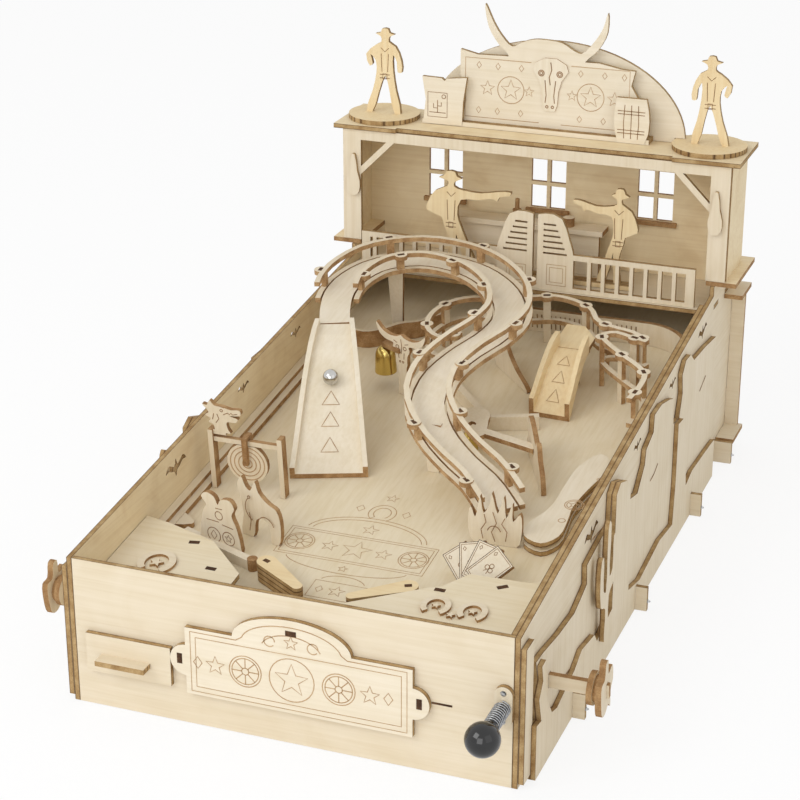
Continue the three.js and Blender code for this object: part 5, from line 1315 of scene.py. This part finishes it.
@dataclass
class Furniture:
    """The plates, bells, target and ball on the field."""

    shop: Workshop
    bells: tuple[tuple[str, float, float, float, float], ...] = (
        ("left", -59.0, 299.0, 11.0, 1.0), ("right", 18.0, 238.0, 0.3, 0.68))
    card: Pair = (15.0, 22.0)
    card_place: Place = (69.0, 96.0, 3.4)
    card_lean: float = 42.0
    card_fan: float = 28.0
    card_margins: Pair = (0.2, 1.2)
    bell_radius: float = 7.0
    bell_height: float = 18.0
    bolt_head: Pair = (1.7, 1.7)
    bolt_shank: Pair = (0.8, 1.4)
    bolt_drop: float = 1.8
    target_posts: Pair = (-110.6, -67.0)
    target_y: float = 154.0
    target_frame: float = 39.0
    target_radius: float = 12.8
    target_stand_off: float = 0.05

    def build(self) -> None:
        """Dress the furniture and score what is burnt into it."""
        f = self.shop.finish
        light = ("money_bags", "bull_plate", "flame_plate", "card_fan", "skull_stand")
        for name in ("target_frame", "target_disc", "money_bags", "bull_plate", "skull_stand", "pistol_plate",
                     "flame_plate", "card_fan", "knife_plate"):
            tone = f.pale if name in light else f.face
            how = Cut.ACROSS_Y if name == "target_frame" else Cut.BY_WIDTH
            dress_sheet(name, tone[ALONG_Z], f.edge, how)
        dress_whole("ball", f.steel)
        for word in ("left", "right"):
            dress_whole(f"bell_{word}", f.brass)
        self.ball()
        for bell in self.bells:
            self.bell(*bell)
        self.target_rings()
        self.plate_marks()

    def ball(self) -> None:
        """Turn the ball smooth."""
        low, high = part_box("ball")
        r = (high - low).x / 2 / MM
        steps = 32
        turn = [math.pi * i / steps for i in range(steps + 1)]
        profile = [(r * math.sin(a) if 0 < i < steps else 0.0, r * math.cos(a)) for i, a in enumerate(turn)]
        piece = self.shop.turned("ball_polished", "ball", Plane((low + high) / 2, X_WAY, Y_WAY), profile,
                                 self.shop.finish.steel, "steel")
        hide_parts("ball")

    def bell(self, word: str, x: float, y: float, low: float, share: float) -> None:
        """Turn a bell, open below under a domed crown, and the left one's bolt.

        Args:
            word: Which bell it is.
            x: Where it stands.
            y: Where it stands along the field.
            low: How high its mouth is.
            share: Its size as a share of the larger bell's.
        """
        r, h = self.bell_radius * share, self.bell_height * share
        outside = [(0.0, 1.0), (0.24, 0.99), (0.46, 0.955), (0.64, 0.9), (0.78, 0.82), (0.87, 0.72),
                   (0.92, 0.6), (0.945, 0.45), (0.96, 0.3), (0.98, 0.15), (1.0, 0.06), (1.0, 0.0)]
        inside = [(0.92, 0.0), (0.88, 0.2), (0.86, 0.45), (0.8, 0.65), (0.62, 0.8), (0.35, 0.88), (0.0, 0.9)]
        profile = [(u * r, v * h) for u, v in outside + inside]
        piece = self.shop.turned(f"bell_turned_{word}", "case", field_plane(x, y, low), profile,
                                 self.shop.finish.brass, "bell_brass")
        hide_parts(f"bell_{word}")
        if word == "left":
            (head, thick), (shank, above) = self.bolt_head, self.bolt_shank
            reach = h + above
            bolt = [(0.0, 0.0), (head, 0.0), (head, thick), (shank, thick), (shank, reach), (0.0, reach)]
            self.shop.turned("bell_bolt_left", "case", field_plane(x, y, low - self.bolt_drop), bolt,
                             self.shop.finish.rod, "steel", 24)

    def target_rings(self) -> None:
        """Score the target's rings, which swing with it."""
        x, y = sum(self.target_posts) / 2, self.target_y - PLY / 2 - self.target_stand_off
        z = self.target_frame - PLY * 2.1 - self.target_radius * 1.05
        plane = Plane(on_field(x, y, z), X_WAY, field_turn() @ Z_WAY)
        rings = [ring(0, 0, r, steps=36) for r in (10.8, 8.2, 5.6, 3.0)]
        self.shop.lines("target_rings", "target", plane, rings, 0.6)

    def plate_marks(self) -> None:
        """Score each standing plate with what such a shape carries."""
        marks = (
            ("bag_folds", upright_plane(-77, 90, 0.2, 28, -15, -1.5), [
                ring(9.5, 9.5, 4.6), diamond(9.5, 9.5, 3.0), [(5, 18.5), (14, 19)], ring(20, 10, 4.2),
                star(20, 10, 2.6), [(16, 18), (24, 17.5)], [(12, 27.5), (17, 28)], ring(14.2, 23.2, 2.6)]),
            ("bull_lines", upright_plane(-60.5, 106, 0.2, 30, -15, -1.5), [
                ring(9, 27, 0.8), arc(13, 20, 7, 8, 130, 250), arc(20, 10, 6, 7, 20, 150),
                [(8, 5), (9.5, 12), (8.5, 17)]]),
            ("wolf_lines", Plane(on_field(-114.8, 152.5 - SKIN, 37.5), X_WAY, field_turn() @ Z_WAY), [
                ring(12, 14.6, 0.8), [(22, 13.6), (19, 12.8), (18, 13.8), (17, 12.6), (16, 13.6), (13, 12)],
                [(10, 17.5), (14, 16.6)], [(8, 6), (10, 9), (9, 12)], [(6, 8), (7, 12)]]),
            ("flame_lines", upright_plane(66, 140, 0.2, 31, 2, -1.5), [
                [(9, 4), (8, 10), (11, 15), (10, 20)], [(16, 3), (14, 9), (17, 15), (15, 22)],
                [(22, 4), (23, 10), (20, 15), (22, 19)], arc(15.5, 8, 4, 5, 20, 160)]),
            ("skull_lines", upright_plane(-45, 291, 20, 40, -20), [
                ring(17, 13.2, 1.2), ring(23, 13.2, 1.2), ring(18.8, 3.4, 0.6), ring(21.2, 3.4, 0.6),
                [(20, 19), (20.6, 14), (20, 9)], [(17.6, 10), (18, 5.5)], [(22.4, 10), (22, 5.5)],
                [(14, 17), (17, 16)], [(26, 17), (23, 16)]]))
        for name, plane, paths in marks:
            self.shop.lines(name, "case", plane, paths, 0.5, self.shop.finish.deep)
        self.cards()

    def cards(self) -> None:
        """Score a border and suit marks on each card of the fan, and its dark cut rim."""
        wide, tall = self.card
        suits = [[heart(7.5, 11.5, 3.4)], spade(7.5, 11, 3.4), [diamond(7.5, 11, 3.4)], club(7.5, 11, 3.4)]
        lean = Matrix.Rotation(math.radians(self.card_lean), 3, "X")
        for i, suit in enumerate(suits):
            turn = field_turn() @ lean @ Matrix.Rotation(math.radians((1.5 - i) * self.card_fan), 3, "Z")
            corner = turn @ Vector((-wide / 2, 0, PLY + i * 0.2 + SKIN))
            plane = Plane(on_field(*self.card_place) + corner * MM, turn @ X_WAY, turn @ Y_WAY)
            rim, border = [oblong(m, m, wide - m, tall - m) for m in self.card_margins]
            self.shop.lines(f"card_rim_{i + 1}", "case", plane, [rim], 0.4, self.shop.finish.burn)
            pips = [border, diamond(3.1, tall - 3.6, 1.2), diamond(wide - 3.1, 3.6, 1.2)]
            self.shop.lines(f"card_marks_{i + 1}", "case", plane, pips + suit, 0.4, self.shop.finish.deep)


@dataclass(frozen=True)
class Coat:
    """The lines on one figure: half widths and heights, in mm."""

    scarf: Triple
    belt: Triple
    buckle: Triple
    front: tuple[Point, Point]

    def paths(self, middle: float) -> list[Path]:
        """Return the lines about an upright middle line."""
        half, high, low = self.scarf
        lines = [[(middle - half, high), (middle, low), (middle + half, high)]]
        half, *levels = self.belt
        lines += [[(middle - half, z), (middle + half, z)] for z in levels]
        half, low, high = self.buckle
        lines.append(oblong(middle - half, low, middle + half, high))
        return lines + [[(middle + side * x, z) for x, z in self.front] for side in (-1, 1)]


@dataclass
class Saloon:
    """The saloon at the back and what stands on its roof."""

    shop: Workshop
    frame_face: float = 405.0
    sign_face: float = 430.0
    man_face: float = 414.0
    man_reach: float = 57.6
    figure_face: float = 428.5
    figure_reach: float = 110.2
    poster_face: float = 424.0
    door_face: float = 395.0
    sign_middle: float = 4.4
    relief: float = 1.0
    floor_top: float = 116.0
    roof_top: float = 211.8
    gunmen: Coat = Coat((3, 172.5, 169.5), (3.6, 151, 148.4), (1.5, 147.8, 151.6), ((2.8, 167), (2.2, 153)))
    guards: Coat = Coat((2.8, 262, 259.4), (3.6, 244, 241.6), (1.4, 241, 244.6), ((2.6, 258), (2, 246)))

    def build(self) -> None:
        """Dress the saloon, its sign and its figures."""
        f = self.shop.finish
        floor, roof = [Plane(drawn(0, 0, z), X_WAY, Y_WAY) for z in (self.floor_top, self.roof_top)]
        dress_sheet("saloon_floor", f.face[ALONG_X], f.cut_edge(floor))
        dress_sheet("saloon_shell", f.shade[ALONG_X], f.edge)
        for name, y, tone in (("saloon_frame", self.frame_face, f.face[ALONG_Z]),
                              ("railing", self.door_face, f.face[ALONG_Z]),
                              ("gunmen", self.man_face, f.honey[ALONG_Z]),
                              ("roof_sign", self.sign_face, f.pale[ALONG_X])):
            dress_sheet(name, tone, f.cut_edge(front_plane(0, y, 0)), Cut.ACROSS_Y)
        dress_sheet("bar_counter", f.face[ALONG_X], f.edge)
        dress_sheet("roof_board", f.shade[ALONG_X], f.cut_edge(roof))
        figure_edge = f.cut_edge(front_plane(0, self.figure_face, 0))
        for side in ("left", "right"):
            dress_sheet(f"roof_figure_{side}", f.honey[ALONG_Z], figure_edge)
        self.figure_lines()
        self.sign_marks()

    def figure_lines(self) -> None:
        """Score scarves, belts and coat fronts on the figures."""
        rows = (("gunmen_lines", self.man_face, self.man_reach, self.gunmen, 0.5),
                ("roof_figure_lines", self.figure_face, self.figure_reach, self.guards, 0.45))
        for name, y, x, coat, width in rows:
            plane = front_plane(0, y - SKIN, 0)
            self.shop.lines(name, "case", plane, coat.paths(-x) + coat.paths(x), width, self.shop.finish.deep)

    def sign_marks(self) -> None:
        """Lay a longhorn's face on the roof sign and score its frame, the notice and the barrel."""
        f, mid = self.shop.finish, self.sign_middle
        half = [(3.4, 229.5), (5, 234), (5.6, 243), (7.6, 250), (12, 256.5), (10.5, 261), (4, 264.5)]
        face = [(mid + x, z) for x, z in half] + [(mid - x, z) for x, z in reversed(half)]
        self.shop.plate("sign_longhorn_face", "case", front_plane(0, self.sign_face, 0), [face], self.relief,
                        f.pale[ALONG_Z], f.edge)
        eyes = []
        for side in (-1, 1):
            x = mid + side * 6.2
            eyes += [ring(x, 254.5, 1.9), ring(x, 254.5, 1.0), ring(mid + side * 1.9, 232.5, 0.8)]
            eyes += [[(mid + side * u, z) for u, z in ((3.6, 250), (2.6, 240), (3.2, 235))]]
        eyes += [[(mid + u, z) for u, z in ((0, 262), (0.8, 257), (-0.8, 252), (0, 247))]]
        raised, flat, poster, door = [front_plane(0, y - SKIN, 0) for y in (
            self.sign_face - self.relief, self.sign_face, self.poster_face, self.door_face)]
        self.shop.lines("sign_longhorn_lines", "case", raised, eyes, 0.6, f.deep)
        marks = [[(-9, 260.5), (-54, 260.5), (-54, 221), (-3, 221)],
                 [(18, 260.5), (57, 260.5), (57, 221), (12, 221)]]
        for side in (-1, 1):
            marks += [star(mid + side * x, 241, size) for x, size in ((27, 7), (43, 5), (14.5, 3.5))]
            marks += [ring(mid + side * 27, 241, 9)]
            marks += [diamond(mid + side * x, z, 2.2) for x in (20, 36, 49) for z in (226, 256)]
        self.shop.lines("roof_sign_scoring", "case", flat, marks, 0.5)
        notice = [oblong(-78, 220, -64.5, 236.5), [(-71.2, 223), (-71.2, 231.5)],
                  [(-71.2, 226), (-74, 226), (-74, 229)], [(-71.2, 227.5), (-68.6, 227.5), (-68.6, 230)],
                  ring(-66.9, 234, 1.3), [(-77, 223), (-65.5, 223)]]
        barrel = [[(51.5, z), (69.5, z)] for z in (221.5, 223.5, 234, 236)]
        barrel += [[(60.5 + x * 0.9, 218), (60.5 + x, 228), (60.5 + x * 0.9, 240)] for x in (-5, 0, 5)]
        self.shop.lines("notice_and_barrel_lines", "case", poster, notice + barrel, 0.5, f.deep)
        doors = [oblong(-12, 122, 1, 135), oblong(-10, 124, -1, 133), oblong(15.5, 123, 28.5, 137),
                 oblong(17.5, 125, 26.5, 135)]
        self.shop.lines("door_panels", "case", door, doors, 0.5)


@dataclass
class Stage:
    """Camera, floor and light."""

    place: Place = (0.39394, -1.09110, 0.59634)
    tilt_degrees: float = 67.288
    turn_degrees: float = 20.650
    lens: float = 96.68
    world: float = 0.72

    def camera(self) -> None:
        """Set the camera at the photograph's angle."""
        data = bpy.data.cameras.new("camera")
        data.lens = self.lens
        data.sensor_width = 36.0
        data.clip_end = 20.0
        made = bpy.data.objects.new("camera", data)
        made.location = self.place
        made.rotation_euler = Euler((math.radians(self.tilt_degrees), 0, math.radians(self.turn_degrees)))
        bpy.context.scene.collection.objects.link(made)
        bpy.context.scene.camera = made

    def floor(self) -> None:
        """Lay the paper floor."""
        half, low = 6.0, -0.0003
        mesh = bpy.data.meshes.new("floor")
        corners = [(-half, -half, low), (half, -half, low), (half, half, low), (-half, half, low)]
        mesh.from_pydata(corners, [], [(0, 1, 2, 3)])
        mesh.materials.append(PaperSweep().material())
        shown("floor", mesh)

    def lamp(self, name: str, place: Place, power: float, size: float) -> None:
        """Hang one soft lamp that looks at the model."""
        data = bpy.data.lights.new(name, "AREA")
        data.energy = power
        data.size = size
        made = bpy.data.objects.new(name, data)
        made.location = place
        made.rotation_euler = (Vector((0, 0, 0.1)) - Vector(place)).to_track_quat("-Z", "Y").to_euler()
        bpy.context.scene.collection.objects.link(made)

    def light(self) -> None:
        """Set the world and the lamps."""
        scene = bpy.context.scene
        scene.view_settings.view_transform = "Standard"
        scene.world = bpy.data.worlds.new("studio")
        scene.world.use_nodes = True
        tree = scene.world.node_tree
        tree.nodes.clear()
        strength = node(tree, "ShaderNodeMapRange", Value=seen_directly(tree), To_Min=self.world,
                        To_Max=1.0).outputs[0]
        back = node(tree, "ShaderNodeBackground", Color=(1, 1, 1, 1), Strength=strength).outputs[0]
        node(tree, "ShaderNodeOutputWorld", Surface=back)
        self.lamp("key", (-1.0, -1.5, 1.6), 13.0, 1.2)
        self.lamp("front", (0.1, -2.4, 0.85), 10.5, 1.4)
        self.lamp("fill", (1.6, -1.0, 1.0), 2.0, 1.4)


def main() -> None:
    """Build every sub-assembly in order."""
    logging.basicConfig(level=logging.INFO, format="%(message)s")
    stage = Stage()
    stage.camera()
    shop = Workshop()
    for assembly in (Case(shop), Front(shop), Flippers(shop), Ramps(shop), Furniture(shop), Saloon(shop)):
        log.info("building %s", type(assembly).__name__)
        assembly.build()
    stage.floor()
    stage.light()
    log.info("%d pieces made", len(shop.made))


if __name__ == "__main__":
    main()
